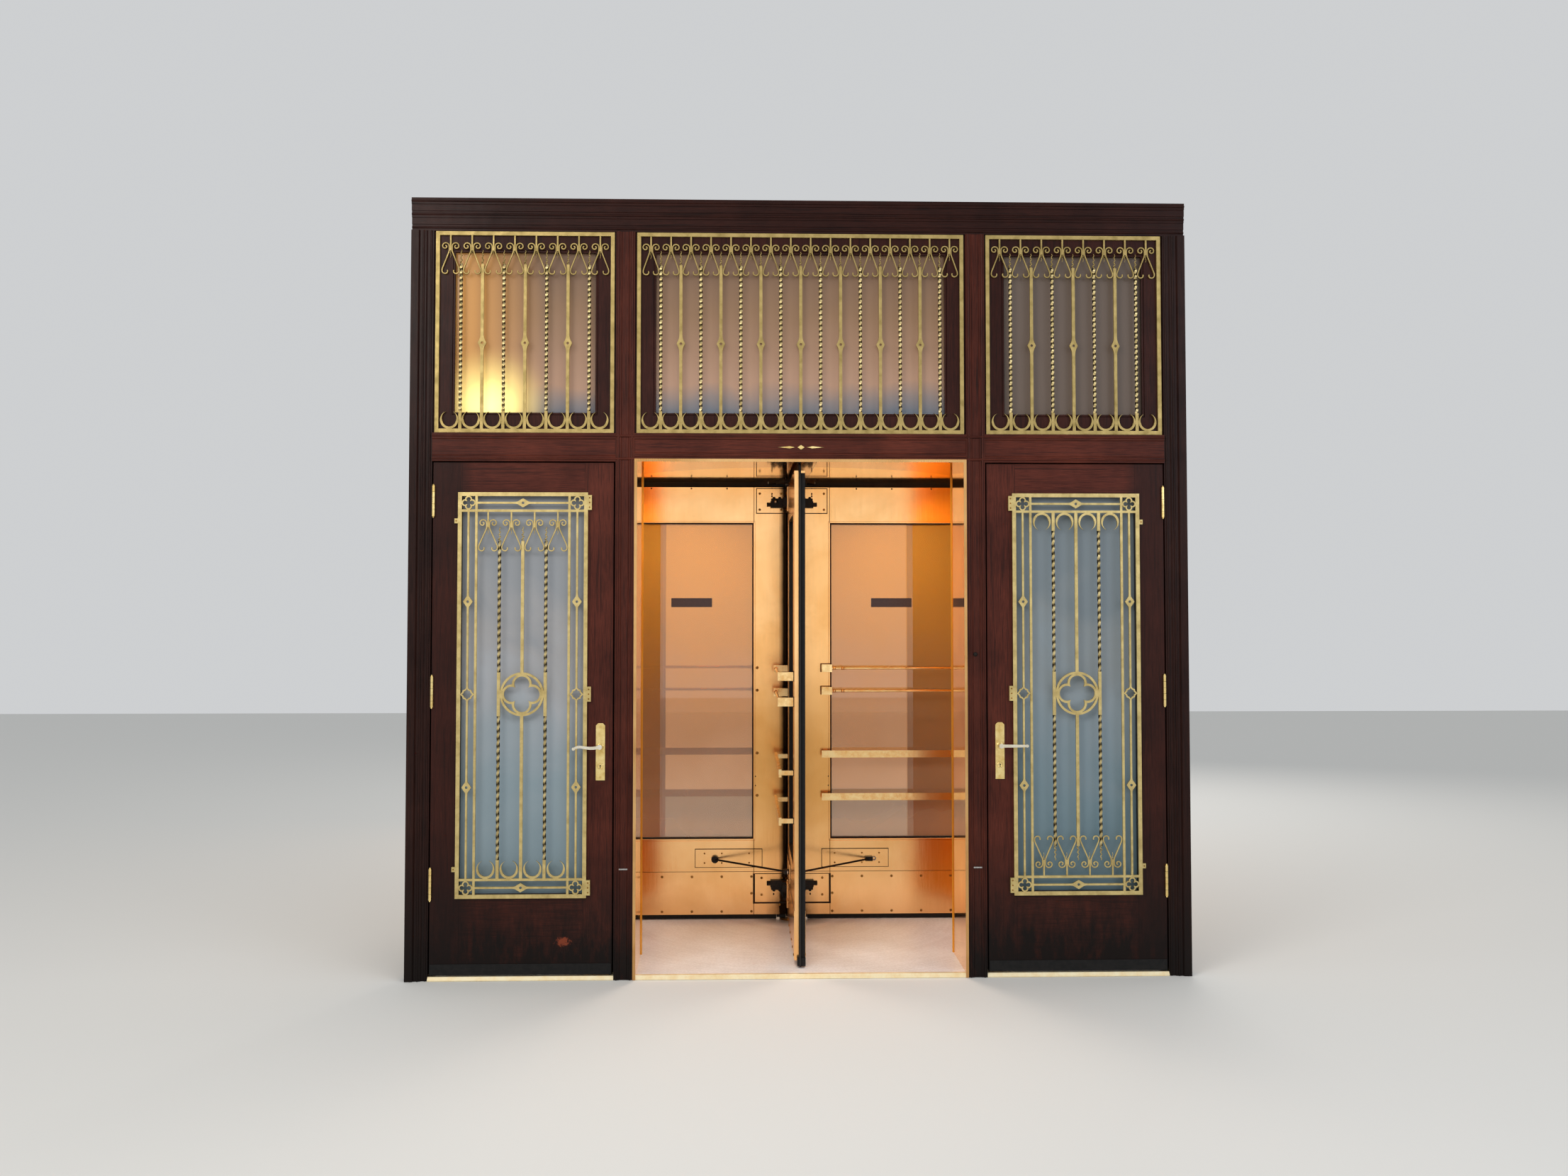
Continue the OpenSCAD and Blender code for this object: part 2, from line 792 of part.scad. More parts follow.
module wing_glass() {
    color("#e8c898", 0.4) each_wing() wing_pane();
}

// Black strip in its channel on the outer edge, brushes above and below, on every wing
module weather_sweeps() {
    t = strip_t / 2;
    brush_in = bearing_r + 15;
    top_in = ceiling_plate_w * sqrt(2) / 2 + 9;
    color("#1c1a19") each_wing() {
        box(wing_out, wing_tip, -t, t, wing_bot_z - brush_h, wing_top_z + brush_h);
        box(wing_out, wing_out + channel_d, face_y - channel_w, face_y,
            wing_bot_z, wing_top_z - channel_drop);
        box(brush_in, wing_out, -t, t, wing_bot_z - brush_h, wing_bot_z);
        box(top_in, wing_out, -t, t, wing_top_z, wing_top_z + brush_h);
    }
}

module kick_plates() {
    color("#d99a58") each_wing() for (y = [face_y, -face_y - kick_t])
        box(wing_in + 8, wing_out - 4, y, y + kick_t, wing_bot_z + 2, wing_bot_z + kick_h);
}

// Two round bars above and two flat bars below, on the trailing face of a wing
module push_bars(i) {
    y_bar = -face_y - push_stand;
    x0 = push_in;
    x1 = wing_out - (outer_stile - push_block_h) / 2;
    l = push_block_l;
    h = push_block_h / 2;
    leg_in = (l - push_leg) / 2;
    color("#e8b070") at_wing(i) {
        for (z = [0, push_round_step]) translate([0, 0, floor_t + push_round_z + z]) {
            translate([x0 + l / 2, y_bar, 0]) rotate([0, 90, 0]) cylinder(r = push_r, h = x1 - x0 - l);
            for (x = [x0, x1 - l]) box(x, x + l, y_bar - push_r - push_block_lap, -face_y, -h, h);
        }
        for (z = [0, push_flat_step]) translate([0, 0, floor_t + push_flat_z + z]) {
            box(x0, x1, y_bar - push_flat_t / 2, y_bar + push_flat_t / 2, -push_flat_h / 2, push_flat_h / 2);
            for (x = [x0 + leg_in, x1 - leg_in - push_leg])
                box(x, x + push_leg, y_bar, -face_y, -push_leg / 2, push_leg / 2);
        }
    }
}

// Hanger plates at the head and the foot of each wing, and the plates that the stay rods hook into
module wing_plates() {
    z_top = soffit_z - hanger_drop - hanger_h;
    z_low = floor_t + low_plate_rise;
    z_stay = floor_t + stay_z - stay_plate_low;
    color("#e6aa6a") each_wing() for (s = [-1, 1]) {
        y = s > 0 ? face_y : -face_y - plate_t;
        box(stay_in, stay_out, y, y + plate_t, z_stay, z_stay + stay_plate_h);
        box(wing_in, hanger_reach, y, y + plate_t, z_top, z_top + hanger_h);
        translate([0, s * kick_t, 0])
            box(wing_in, low_plate_reach, y, y + plate_t, z_low, z_low + low_plate_h);
    }
}

// One arm of a corner bracket along +X, with its clamp block, its end bolt and a web of height web
module bracket_arm(inner, web) {
    box(inner, arm_reach, -inner - arm_t, -inner, 0, arm_h);
    box(clamp_in, arm_reach - 3, -inner - arm_t, -inner, arm_h - 1, arm_h + clamp_h);
    translate([arm_reach - 1, -inner - arm_t / 2, arm_h / 2]) rotate([0, 90, 0])
        cylinder(r = arm_bolt_r, h = arm_bolt_l + 1, $fn = 6);
    if (web > 0) upright_plate(-inner - (arm_t + web_t) / 2, web_t)
        polygon([[inner, arm_h - 1], [arm_reach - arm_h, arm_h - 1], [inner + web_foot, arm_h + web],
            [inner, arm_h + web]]);
}

// A black corner bracket in a quadrant joins two wings
module corner_bracket(off, web) {
    for (m = [0, 1]) mirror([m, m, 0]) bracket_arm(face_y + plate_t + off, web);
}

// Brackets at the top, and at the bottom upside down on their webs
module hanger_brackets() {
    color("#241f1d") each_wing() {
        translate([0, 0, soffit_z - top_arm_drop]) corner_bracket(0, 0);
        translate([0, 0, floor_t + low_arm_rise]) mirror([0, 0, 1]) corner_bracket(kick_t, web_h);
    }
}

// Thin rods across each quadrant, from a hook on one wing to a round knob on the next
module stay_rods() {
    off = face_y + plate_t;
    reach = off + rod_off;
    color("#2b2622") each_wing() translate([0, 0, floor_t + stay_z]) {
        box(stay_r - hook_w / 2, stay_r + hook_w / 2, -off - knob_l, -off, -hook_h / 2, hook_h / 2);
        translate([off, -stay_r, 0]) rotate([0, 90, 0]) cylinder(r = knob_r, h = knob_l);
        translate([stay_r, -reach, 0]) rotate([0, -90, 45])
            cylinder(r = rod_r, h = (stay_r - reach) * sqrt(2));
    }
}

module leaf(side) {
    inset = frame_bar - 2;
    x_mid = leaf_mid_x;
    gx = door_grille_w / 2 - inset;
    gz0 = door_grille_z + inset;
    gz1 = door_grille_z + door_grille_h - inset;
    color("#3d1a14") on_side(side) difference() {
        glazed_frame(leaf_in_x, leaf_out_x, leaf_bot_z, leaf_top_z, x_mid - gx, x_mid + gx, gz0, gz1,
            leaf_face_y, leaf_face_y + leaf_t, leaf_face_y + leaf_t / 2);
        translate([lever_x, leaf_face_y - 1, floor_t + lever_z]) rotate([-90, 0, 0])
            cylinder(r = spindle_r + pin_gap, h = leaf_t / 2);
    }
}

module leaf_glass(side) {
    inset = frame_bar - 2;
    gx = door_grille_w / 2 - inset;
    color("#a8b4bc", 0.7) on_side(side)
        pane(leaf_mid_x - gx, leaf_mid_x + gx, door_grille_z + inset,
            door_grille_z + door_grille_h - inset, leaf_face_y + leaf_t / 2);
}

// A band of width w round four lobes, with cusps between them; r is the outer reach of the lobes
module quatrefoil(r, w) {
    at = 0.51 * r;
    lobe = r - at;
    difference() {
        for (a = [0:90:270]) rotate(a) translate([at, 0]) circle(lobe);
        for (a = [0:90:270]) rotate(a) translate([at, 0]) circle(lobe - w);
        square(1.7 * (lobe - w), center = true);
    }
}

// Pitch of the uprights in the inner field of a door grille
function door_pitch() = (door_grille_w - 2 * border_w - thin_bar) / 4;

// Border on the right and at the top of a door grille: bars, corner ornament and eyes
module border_half(h) {
    iw = door_grille_w - 2 * border_w;
    ih = h - 2 * border_w;
    cell = border_w - frame_bar;
    side_x = (door_grille_w - 2 * frame_bar - cell) / 2;
    side_z = (h - 2 * frame_bar - cell) / 2;
    translate([iw / 2 - thin_bar, 1 - h / 2]) square([thin_bar, h - 2]);
    translate([1 - door_grille_w / 2, ih / 2 - thin_bar]) square([door_grille_w - 2, thin_bar]);
    translate([side_x, side_z]) quatrefoil(cell / 2 + 1, foil_bar);
    translate([-side_x, side_z]) quatrefoil(cell / 2 + 1, foil_bar);
    translate([side_x, 0]) {
        difference() {
            translate([-strip_bar / 2, -ih / 2]) square([strip_bar, ih]);
            lozenge(cell - 10, cell - 10);
            for (z = [-0.25, 0.25]) translate([0, z * ih]) circle(eye_r);
        }
        bulged_eye(cell + 2, cell + 4, foil_bar);
        for (z = [-0.25, 0.25]) translate([0, z * ih]) split_eye(side_eye[0], side_eye[1], strip_bar);
    }
    translate([0, side_z]) {
        difference() {
            translate([-iw / 2, -strip_bar / 2]) square([iw, strip_bar]);
            circle(eye_r);
        }
        rotate(90) split_eye(head_eye[0], head_eye[1], strip_bar);
    }
}

// Door grille in its own plane, centred on 0: border, medallion, scrolls at the head and rings at
// the foot. The outer uprights are twisted between their plain foot, middle and head.
module door_grille_2d() {
    h = door_grille_h;
    ih = h - 2 * border_w;
    pitch = door_pitch();
    foot = thin_bar - ih / 2;
    frame_2d(door_grille_w, h, frame_bar);
    border_half(h);
    rotate(180) border_half(h);
    translate([0, ih / 2 - thin_bar]) scroll_row(pitch, 4);
    for (i = [-1:1]) translate([i * pitch, 0]) {
        translate([0, ih / 2 - thin_bar]) upright_head();
        if (i == 0) difference() {
            translate([-upright / 2, foot - 1]) square([upright, ih - 2 * thin_bar - scroll_h]);
            circle(medallion_d / 2 - medallion_bar / 2);
        }
        else {
            translate([-upright / 2, foot - 1]) square([upright, ring_d + 1]);
            square([upright, medallion_d], center = true);
        }
    }
    ring_of(medallion_d, medallion_bar);
    quatrefoil(medallion_d / 2 - medallion_bar + 2, medallion_bar);
    for (i = [-1.5:1.5]) translate([i * pitch, foot - 1]) open_ring(ring_d, ring_bar, ring_gap);
}

// The right grille is the left one turned upside down
module turned_for(side) {
    translate([leaf_mid_x, 0, leaf_grille_mid]) mirror([0, 0, side == "left" ? 0 : 1]) children();
}

// Grille on its leaf, with three catches at the lock side and two pivots at the hinge side
module leaf_grille(side) {
    edge = leaf_mid_x - door_grille_w / 2;
    color("#b8a25a") on_side(side) {
        turned_for(side) upright_plate(leaf_grille_y, leaf_grille_t) door_grille_2d();
        for (z = [-1, 0, 1]) translate([edge, 0, leaf_grille_mid + z * (door_grille_h / 2 - catch_in)])
            box(block_lap - catch_w, block_lap, leaf_grille_y, leaf_face_y, -catch_h / 2, catch_h / 2);
        for (z = [-1, 1])
            translate([edge + door_grille_w, 0, leaf_grille_mid + z * (door_grille_h / 2 - pivot_in)])
                box(-block_lap, pivot_w, leaf_grille_y, leaf_face_y, -pivot_h / 2, pivot_h / 2);
    }
}

module leaf_twisted_bars(side) {
    ih = door_grille_h - 2 * border_w;
    y = leaf_grille_y + leaf_grille_t / 2;
    color("#b8a25a") on_side(side) turned_for(side) for (x = [-1, 1] * door_pitch()) {
        twisted_bar(x, y, thin_bar + ring_d - ih / 2, -medallion_d / 2);
        twisted_bar(x, y, medallion_d / 2, ih / 2 - thin_bar - scroll_h - head_drop);
    }
}

// Lock plate about its spindle hole, with clipped corners at the top
module lock_plate_2d() {
    w = lock_plate_w / 2;
    top = lock_plate_rise;
    difference() {
        polygon([[-w, top - lock_plate_h], [w, top - lock_plate_h], [w, top - w / 2], [w / 2, top],
            [-w / 2, top], [-w, top - w / 2]]);
        circle(spindle_r + pin_gap);
    }
}

// Three butt hinges with their knuckles in front of the leaf, and the lock plate
module leaf_hardware(side) {
    low = leaf_bot_z + hinge_low;
    high = leaf_top_z - hinge_high;
    color("#c9a44c") on_side(side) {
        for (z = [low, (low + high) / 2, high]) {
            translate([hinge_x, hinge_y, z - butt_h / 2]) cylinder(r = knuckle_r, h = butt_h);
            box(leaf_out_x, leaf_out_x + hinge_plate_t, hinge_y, leaf_face_y + hinge_plate_d,
                z - butt_h / 2, z + butt_h / 2);
        }
        upright_plate(leaf_face_y - lock_plate_t, lock_plate_t) translate([lever_x, floor_t + lever_z])
            lock_plate_2d();
    }
}

module kick_strip(side) {
    color("#1a1716") on_side(side) box(leaf_in_x + 2, leaf_out_x - 2, leaf_face_y - kick_strip_t, leaf_face_y,
        leaf_bot_z, leaf_bot_z + kick_strip_h);
}

// Side view of a lever grip from its hub at 0: it waves and droops towards its end
module grip_2d(wave) {
    n = 18;
    function mid_z(t) = -wave * (0.8 * sin(270 * t) + 25 * pow(max(0, t - 0.7), 2));
    function half_w(t) = grip_w / 2 * (1 - 0.2 * t);
    polygon(concat([for (i = [0:n]) [lever_l * i / n, mid_z(i / n) - half_w(i / n)]],
        [for (i = [n:-1:0]) [lever_l * i / n, mid_z(i / n) + half_w(i / n)]]));
    translate([lever_l, mid_z(1)]) circle(grip_w / 2);
}

// Lever handle: spindle, hub and a grip that points to the hinge side
module lever(side) {
    y_plate = leaf_face_y - lock_plate_t;
    color("#d8d0b8") on_side(side) translate([lever_x, 0, floor_t + lever_z]) {
        translate([0, y_plate - lever_stand, 0]) rotate([-90, 0, 0])
            cylinder(r = lever_hub_r, h = lever_stand - pin_gap);
        translate([0, y_plate - 1, 0]) rotate([-90, 0, 0])
            cylinder(r = spindle_r, h = lock_plate_t + leaf_t / 3);
        upright_plate(y_plate - lever_stand, grip_t) grip_2d(side == "left" ? grip_wave : 0);
    }
}

head_rail();
transom_rail();
for (s = sides) {
    outer_post(s);
    mullion(s);
    transom_sash(s);
    transom_grille(s);
    reveal(s);
    leaf(s);
    leaf_glass(s);
    leaf_grille(s);
    leaf_twisted_bars(s);
    leaf_hardware(s);
    kick_strip(s);
    lever(s);
}
centre_transom_sash();
centre_transom_grille();
transom_twisted_bars();
transom_glass();
door_thresholds();
drum_floor();
front_sill();
mouth_trim();
rear_jambs();
for (i = [0:3]) drum_wall(i);
drum_ceiling();
drum_cornice();
drum_cover();
ceiling_plate();
floor_bearing();
centre_shaft();
wing_glass();
weather_sweeps();
kick_plates();
for (i = [0:3]) {
    wing_frame(i);
    push_bars(i);
}
wing_plates();
hanger_brackets();
stay_rods();
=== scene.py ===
import math
import random
from functools import partial

import bmesh
import bpy
from mathutils import Matrix, Vector


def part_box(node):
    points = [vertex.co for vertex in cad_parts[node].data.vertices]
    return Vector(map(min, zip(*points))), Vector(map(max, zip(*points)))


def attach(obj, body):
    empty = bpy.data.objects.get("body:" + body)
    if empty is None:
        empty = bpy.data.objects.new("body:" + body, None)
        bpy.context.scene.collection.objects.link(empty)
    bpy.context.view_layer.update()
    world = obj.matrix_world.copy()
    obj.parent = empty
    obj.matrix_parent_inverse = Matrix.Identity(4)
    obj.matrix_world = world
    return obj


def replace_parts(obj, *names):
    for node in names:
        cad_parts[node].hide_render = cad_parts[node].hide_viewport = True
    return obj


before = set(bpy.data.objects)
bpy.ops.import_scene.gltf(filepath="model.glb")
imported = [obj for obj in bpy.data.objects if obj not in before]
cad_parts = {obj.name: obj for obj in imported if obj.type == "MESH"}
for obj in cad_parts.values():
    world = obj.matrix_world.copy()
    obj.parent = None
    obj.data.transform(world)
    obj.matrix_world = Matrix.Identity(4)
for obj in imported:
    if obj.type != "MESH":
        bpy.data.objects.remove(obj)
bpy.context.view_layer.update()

# Camera: it stands 6.3 m in front of the screen, 1.56 m above the ground and a little left of the
# axis, and looks slightly up and to the right. No film curve changes the colours.

pitch_up = math.radians(2.293)
turn_right = math.radians(1.764)
camera_data = bpy.data.cameras.new("camera")
camera_data.lens = 34.2
camera_data.sensor_width = 36.0
camera_data.shift_y = -0.0286
camera = bpy.data.objects.new("camera", camera_data)
camera.location = (-0.264, -7.345, 1.561)
camera.rotation_euler = (math.pi / 2 + pitch_up, 0.0, -turn_right)
bpy.context.scene.collection.objects.link(camera)
bpy.context.scene.camera = camera
bpy.context.scene.view_settings.view_transform = "Standard"

# Studio: even grey-white surroundings, large soft lights from both front sides, a wide pale card far
# behind the camera for the metal to mirror, and warm light inside the drum and behind its glass.


def linear(hex_colour):
    """An sRGB colour such as #c8a050 as linear RGBA."""
    channels = [int(hex_colour[i : i + 2], 16) / 255 for i in (1, 3, 5)]
    return tuple(c / 12.92 if c <= 0.04045 else ((c + 0.055) / 1.055) ** 2.4 for c in channels) + (1.0,)


world = bpy.data.worlds.new("studio")
world.use_nodes = True
world.node_tree.nodes["Background"].inputs["Color"].default_value = linear("#eef0f2")
world.node_tree.nodes["Background"].inputs["Strength"].default_value = 0.72
bpy.context.scene.world = world


def soft_light(name, place, aim, width, height, power, colour, mirrored=True):
    """A rectangular area light at one place, aimed at another; metal shows it only if it is mirrored."""
    data = bpy.data.lights.new(name, "AREA")
    data.shape = "RECTANGLE"
    data.size, data.size_y = width, height
    data.energy = power
    data.color = linear(colour)[:3]
    light = bpy.data.objects.new(name, data)
    light.location = place
    light.rotation_euler = (Vector(aim) - Vector(place)).to_track_quat("-Z", "Y").to_euler()
    light.visible_camera = False
    light.visible_glossy = mirrored
    bpy.context.scene.collection.objects.link(light)


soft_light("key_light", (-3.8, -6.5, 4.4), (0.0, -1.0, 1.5), 3.0, 3.0, 150.0, "#fffaf4")
soft_light("fill_light", (4.6, -6.0, 3.2), (0.0, -1.0, 1.5), 3.0, 3.0, 80.0, "#eef4ff")
soft_light("back_light", (2.5, 5.5, 4.5), (0.0, 0.0, 1.2), 3.5, 3.5, 150.0, "#fff8f0")
soft_light("street_card", (0.4, -14.0, 2.4), (0.4, 0.0, 2.0), 5.6, 4.4, 44.0, "#ffffff")
soft_light("lobby_light", (0.0, 3.4, 1.6), (0.0, 0.0, 1.2), 3.0, 2.8, 24.0, "#ffc98a")
soft_light("step_light", (-0.2, -3.4, 2.9), (0.0, -0.7, 0.0), 1.8, 0.8, 26.0, "#fff6ec", False)
for side in (-1, 1):
    lamp, lit = (side * 0.42, -0.5, 2.1), (side * 0.75, -0.55, 0.4)
    soft_light(f"drum_light_{side}", lamp, lit, 0.3, 0.3, 13.0, "#ffeedd", False)

floor_mesh = bmesh.new()
bmesh.ops.create_grid(floor_mesh, x_segments=1, y_segments=1, size=14.0)
bmesh.ops.translate(floor_mesh, vec=(0.0, 0.0, -0.001), verts=floor_mesh.verts)
floor_data = bpy.data.meshes.new("studio_floor")
floor_mesh.to_mesh(floor_data)
floor_mesh.free()
studio_floor = bpy.data.objects.new("studio_floor", floor_data)
bpy.context.scene.collection.objects.link(studio_floor)


def add(tree, kind, inputs=(), stops=(), out=0, **settings):
    """Adds a shader node, sets its settings, and sets or links its inputs; hands back one output.

    Inputs go by name or number, or as a list in the order of the sockets, and one like "#c8a050" is
    an sRGB colour. Stops are the places and colours of a ramp.
    """
    made = tree.nodes.new("ShaderNode" + kind)
    for name, value in settings.items():
        setattr(made, name, value)
    for index, (place, colour) in enumerate(stops):
        if index > 1:
            made.color_ramp.elements.new(1.0)
        made.color_ramp.elements[index].position = place
        made.color_ramp.elements[index].color = linear(colour)
    for socket, value in inputs.items() if isinstance(inputs, dict) else enumerate(inputs):
        if isinstance(value, bpy.types.NodeSocket):
            tree.links.new(value, made.inputs[socket])
        else:
            made.inputs[socket].default_value = linear(value) if isinstance(value, str) else value
    return made.outputs[out] if made.outputs else None


def new_finish(name):
    """An empty material, the function that adds nodes to it, and its Object coordinates."""
    finish = bpy.data.materials.new(name)
    finish.use_nodes = True
    finish.node_tree.nodes.clear()
    put = partial(add, finish.node_tree)
    return finish, put, put("TexCoord", out="Object")


plain_floor, put, place = new_finish("plain_pale_floor")
put("OutputMaterial", [put("BsdfPrincipled", {"Base Color": "#d6d6d3", "Roughness": 0.9})])
floor_data.materials.append(plain_floor)

# Outer posts and mullions: planed and moulded mahogany boards, French polished. The eye sees a dark
# warm brown with fine upright streaks, a satin sheen, and feet that are scuffed nearly black.

MM = 0.001
# How a Mix node blends two colours by a share, or darkens the first by the second.
COLOURS = {"data_type": "RGBA", "out": 2}
DARKEN = {**COLOURS, "blend_type": "MULTIPLY"}


def mahogany(name, upright, dark, light, foot_top=0.5, paint=None):
    """Polished mahogany. upright is 1 for upright grain, 0 for level grain, or adds nodes for both.

    paint may add nodes that change the colour from place to place.
    """
    finish, put, place = new_finish(name)
    height = put("SeparateXYZ", [place], out="Z")
    across, along = 1 / (11 * MM), 1 / (380 * MM)
    stood = put("Mapping", {"Vector": place, "Scale": (across, across, along)})
    laid = put("Mapping", {"Vector": place, "Scale": (along, across, across)})
    share = upright(put, place) if callable(upright) else upright
    grain = put("Mix", {0: share, 4: laid, 5: stood}, data_type="VECTOR", out=1)
    streaks = {"Vector": grain, "Scale": 1.0, "Detail": 6.0, "Roughness": 0.62, "Distortion": 0.35}
    pores = put("TexNoise", {"Vector": grain, "Scale": 7.0, "Detail": 3.0})
    wood = put("ValToRGB", [put("TexNoise", streaks)], [(0.26, dark), (0.5, light), (0.76, dark)])
    fine = put("ValToRGB", [pores], [(0.32, "#8f8580"), (0.6, "#ffffff")])
    wood = put("Mix", {0: 0.6, 6: wood, 7: fine}, **DARKEN)
    clouds = put("TexNoise", {"Vector": place, "Scale": 4.0, "Detail": 4.0, "Roughness": 0.6})
    shade = put("ValToRGB", [clouds], [(0.3, "#a89c96"), (0.68, "#ffffff")])
    wood = put("Mix", {0: 0.75, 6: wood, 7: shade}, **DARKEN)
    foot = put("MapRange", [height, 0.0, foot_top, 1.0, 0.0])
    streaky = put("Mapping", {"Vector": place, "Scale": (30.0, 30.0, 8.0)})
    scuffs = put("TexNoise", {"Vector": streaky, "Scale": 1.0, "Detail": 8.0, "Roughness": 0.75})
    worn = put("Math", [foot, scuffs], operation="MULTIPLY")
    worn = put("Math", [worn, 2.3], operation="MULTIPLY", use_clamp=True)
    wood = put("Mix", {0: worn, 6: wood, 7: "#120b09"}, **COLOURS)
    if paint:
        wood = paint(put, place, wood)
    sheen = put("MapRange", [scuffs, 0.3, 0.7, 0.3, 0.48])
    bump = put("Bump", {"Height": pores, "Strength": 0.15, "Distance": 0.4 * MM})
    put("OutputMaterial", [put("BsdfPrincipled", {
        "Base Color": wood, "Roughness": sheen, "IOR": 1.5, "Specular IOR Level": 0.12,
        "Coat Weight": 0.04, "Coat Roughness": 0.15, "Normal": bump,
    })])
    return finish


def dress(finish, *names):
    """Gives CAD nodes their finish."""
    for name in names:
        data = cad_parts[name].data
        data.materials.clear()
        data.materials.append(finish)


dress(mahogany("upright_polished_mahogany", 1.0, "#2a120c", "#542519"), "left_mullion", "right_mullion")
# The outer posts take a darker copy of the same mahogany: painted shade of the deep surround.
dress(mahogany("painted_shade_post_mahogany", 1.0, "#170b08", "#301812"), "left_outer_post", "right_outer_post")

# Small fittings on the mullions: a pale steel wear strip low on each, pinned flat, and a round dark
# push button on the right one at the height of a hand.

front_y = -1093.4
mullion_in, mullion_out = 700.0, 779.0
BOTH = (-1, 1)
FRONT, REAR = (0, -1, 0), (0, 1, 0)


def keep(name, mesh, body, finish):
    """Ends a piece that was modelled in millimetres: it gets its object, finish and body."""
    bmesh.ops.recalc_face_normals(mesh, faces=mesh.faces)
    bmesh.ops.scale(mesh, vec=(MM, MM, MM), verts=mesh.verts)
    data = bpy.data.meshes.new(name)
    mesh.to_mesh(data)
    mesh.free()
    if data.has_custom_normals:
        data.attributes.remove(data.attributes["custom_normal"])
    data.shade_smooth()
    data.set_sharp_from_angle(angle=math.radians(32))
    data.materials.append(finish)
    piece = bpy.data.objects.new(name, data)
    bpy.context.scene.collection.objects.link(piece)
    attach(piece, body)
    return piece


def ease_edges(mesh, sharp, offset, steps=1, affect="EDGES"):
    """Takes the sharpness off edges or corners, with a flat or a round of some steps."""
    rounding = {"segments": steps, "profile": 0.5, "affect": affect, "material": -1}
    bmesh.ops.bevel(mesh, geom=sharp, offset=offset, **rounding)


def eased_block(mesh, corner, opposite, ease, steps=1):
    """Adds a block between two opposite corners, with its edges eased."""
    low, high = zip(*(sorted(pair) for pair in zip(corner, opposite)))
    verts = bmesh.ops.create_cube(mesh, size=1.0)["verts"]
    bmesh.ops.scale(mesh, vec=[b - a for a, b in zip(low, high)], verts=verts)
    bmesh.ops.translate(mesh, vec=[(a + b) / 2 for a, b in zip(low, high)], verts=verts)
    ease_edges(mesh, list({edge for vert in verts for edge in vert.link_edges}), ease, steps)


def facing(direction, place, turn=0.0):
    """The transform that takes a part from the origin, where it points up, to a place."""
    aim = Vector(direction).to_track_quat("Z", "Y").to_matrix().to_4x4()
    return Matrix.Translation(place) @ aim @ Matrix.Rotation(turn, 4, "Z")


def copies(part, places, mesh=None):
    """Copies of a small part, one for each transform, in a mesh of their own or added to another."""
    mesh = bmesh.new() if mesh is None else mesh
    stock = bpy.data.meshes.new("stock")
    bmesh.ops.recalc_face_normals(part, faces=part.faces)
    part.to_mesh(stock)
    part.free()
    for place in places:
        stock.transform(place)
        mesh.from_mesh(stock)
        stock.transform(place.inverted())
    bpy.data.meshes.remove(stock)
    return mesh


def turned_part(profile, steps=20):
    """A part turned on a lathe: (radius, height) points spun round the Z axis."""
    part = bmesh.new()
    points = [part.verts.new((radius, 0.0, height)) for radius, height in profile]
    lines = [part.edges.new(pair) for pair in zip(points, points[1:])]
    bmesh.ops.spin(part, geom=points + lines, axis=(0, 0, 1), angle=math.tau, steps=steps, use_merge=True)
    bmesh.ops.remove_doubles(part, verts=part.verts, dist=0.001)
    return part


def black_finish(name, dark, light, roughness, metallic):
    """A black surface with dust in its pores and an uneven sheen."""
    finish, put, place = new_finish(name)
    dust = put("TexNoise", {"Vector": place, "Scale": 1 / (17 * MM), "Detail": 7.0, "Roughness": 0.7})
    colour = put("ValToRGB", [dust], [(0.4, dark), (0.75, light)])
    sheen = put("MapRange", [dust, 0.3, 0.7, roughness - 0.08, roughness + 0.12])
    bump = put("Bump", {"Height": dust, "Strength": 0.25, "Distance": 0.4 * MM})
    put("OutputMaterial", [put("BsdfPrincipled", {
        "Base Color": colour, "Metallic": metallic, "Roughness": sheen, "Specular IOR Level": 0.25,
        "Normal": bump,
    })])
    return finish


strip_in, strip_out, strip_low, strip_high = 722.0, 758.0, 452.0, 458.0
button_x, button_z = 734.0, 1344.6
strips = bmesh.new()
for side in BOTH:
    low, high = (side * strip_in, front_y - 1.5, strip_low), (side * strip_out, front_y + 4.0, strip_high)
    eased_block(strips, low, high, 0.6)
pale_steel, put, place = new_finish("worn_pale_steel")
rub = put("TexNoise", {"Vector": place, "Scale": 1 / (2 * MM), "Detail": 4.0})
colour = put("ValToRGB", [rub], [(0.3, "#8a8886"), (0.7, "#d2d0cc")])
put("OutputMaterial", [put("BsdfPrincipled", {"Base Color": colour, "Metallic": 1.0, "Roughness": 0.35})])
keep("mullion_wear_strips", strips, "screen", pale_steel)

black_iron = black_finish("oiled_black_iron", "#080706", "#2a2019", 0.42, 0.2)
profile = [(0, 0), (9.0, 0), (9.0, 3.0), (7.5, 4.5), (6.0, 4.5), (5.5, 6.5), (3.0, 8.0), (0, 8.4)]
button = copies(turned_part(profile), [facing(FRONT, (button_x, front_y + 3.2, button_z))])
keep("mullion_push_button", button, "screen", black_iron)

# Transom rail and head: level mahogany with two half-round beads, which run on over the mullions.
# A small plain brass ornament is pinned to the rail over the drum.

rail_low, rail_high, bead_in, bead_r = 2154.0, 2273.0, 11.7, 5.2
level_mahogany = mahogany("level_polished_mahogany", 0.0, "#301510", "#5c291c", 0.01)
# The head and the cornice take a darker copy of the level mahogany: painted shade.
head_mahogany = mahogany("painted_shade_head_mahogany", 0.0, "#190b08", "#341710", 0.01)
dress(level_mahogany, "transom_rail")
dress(head_mahogany, "head_rail", "drum_cornice")


def pull(mesh, faces, shift):
    """Draws faces out by a shift, and hands back the faces at the new end."""
    made = bmesh.ops.extrude_face_region(mesh, geom=faces)["geom"]
    verts = [item for item in made if isinstance(item, bmesh.types.BMVert)]
    bmesh.ops.translate(mesh, vec=shift, verts=verts)
    return [item for item in made if isinstance(item, bmesh.types.BMFace)]


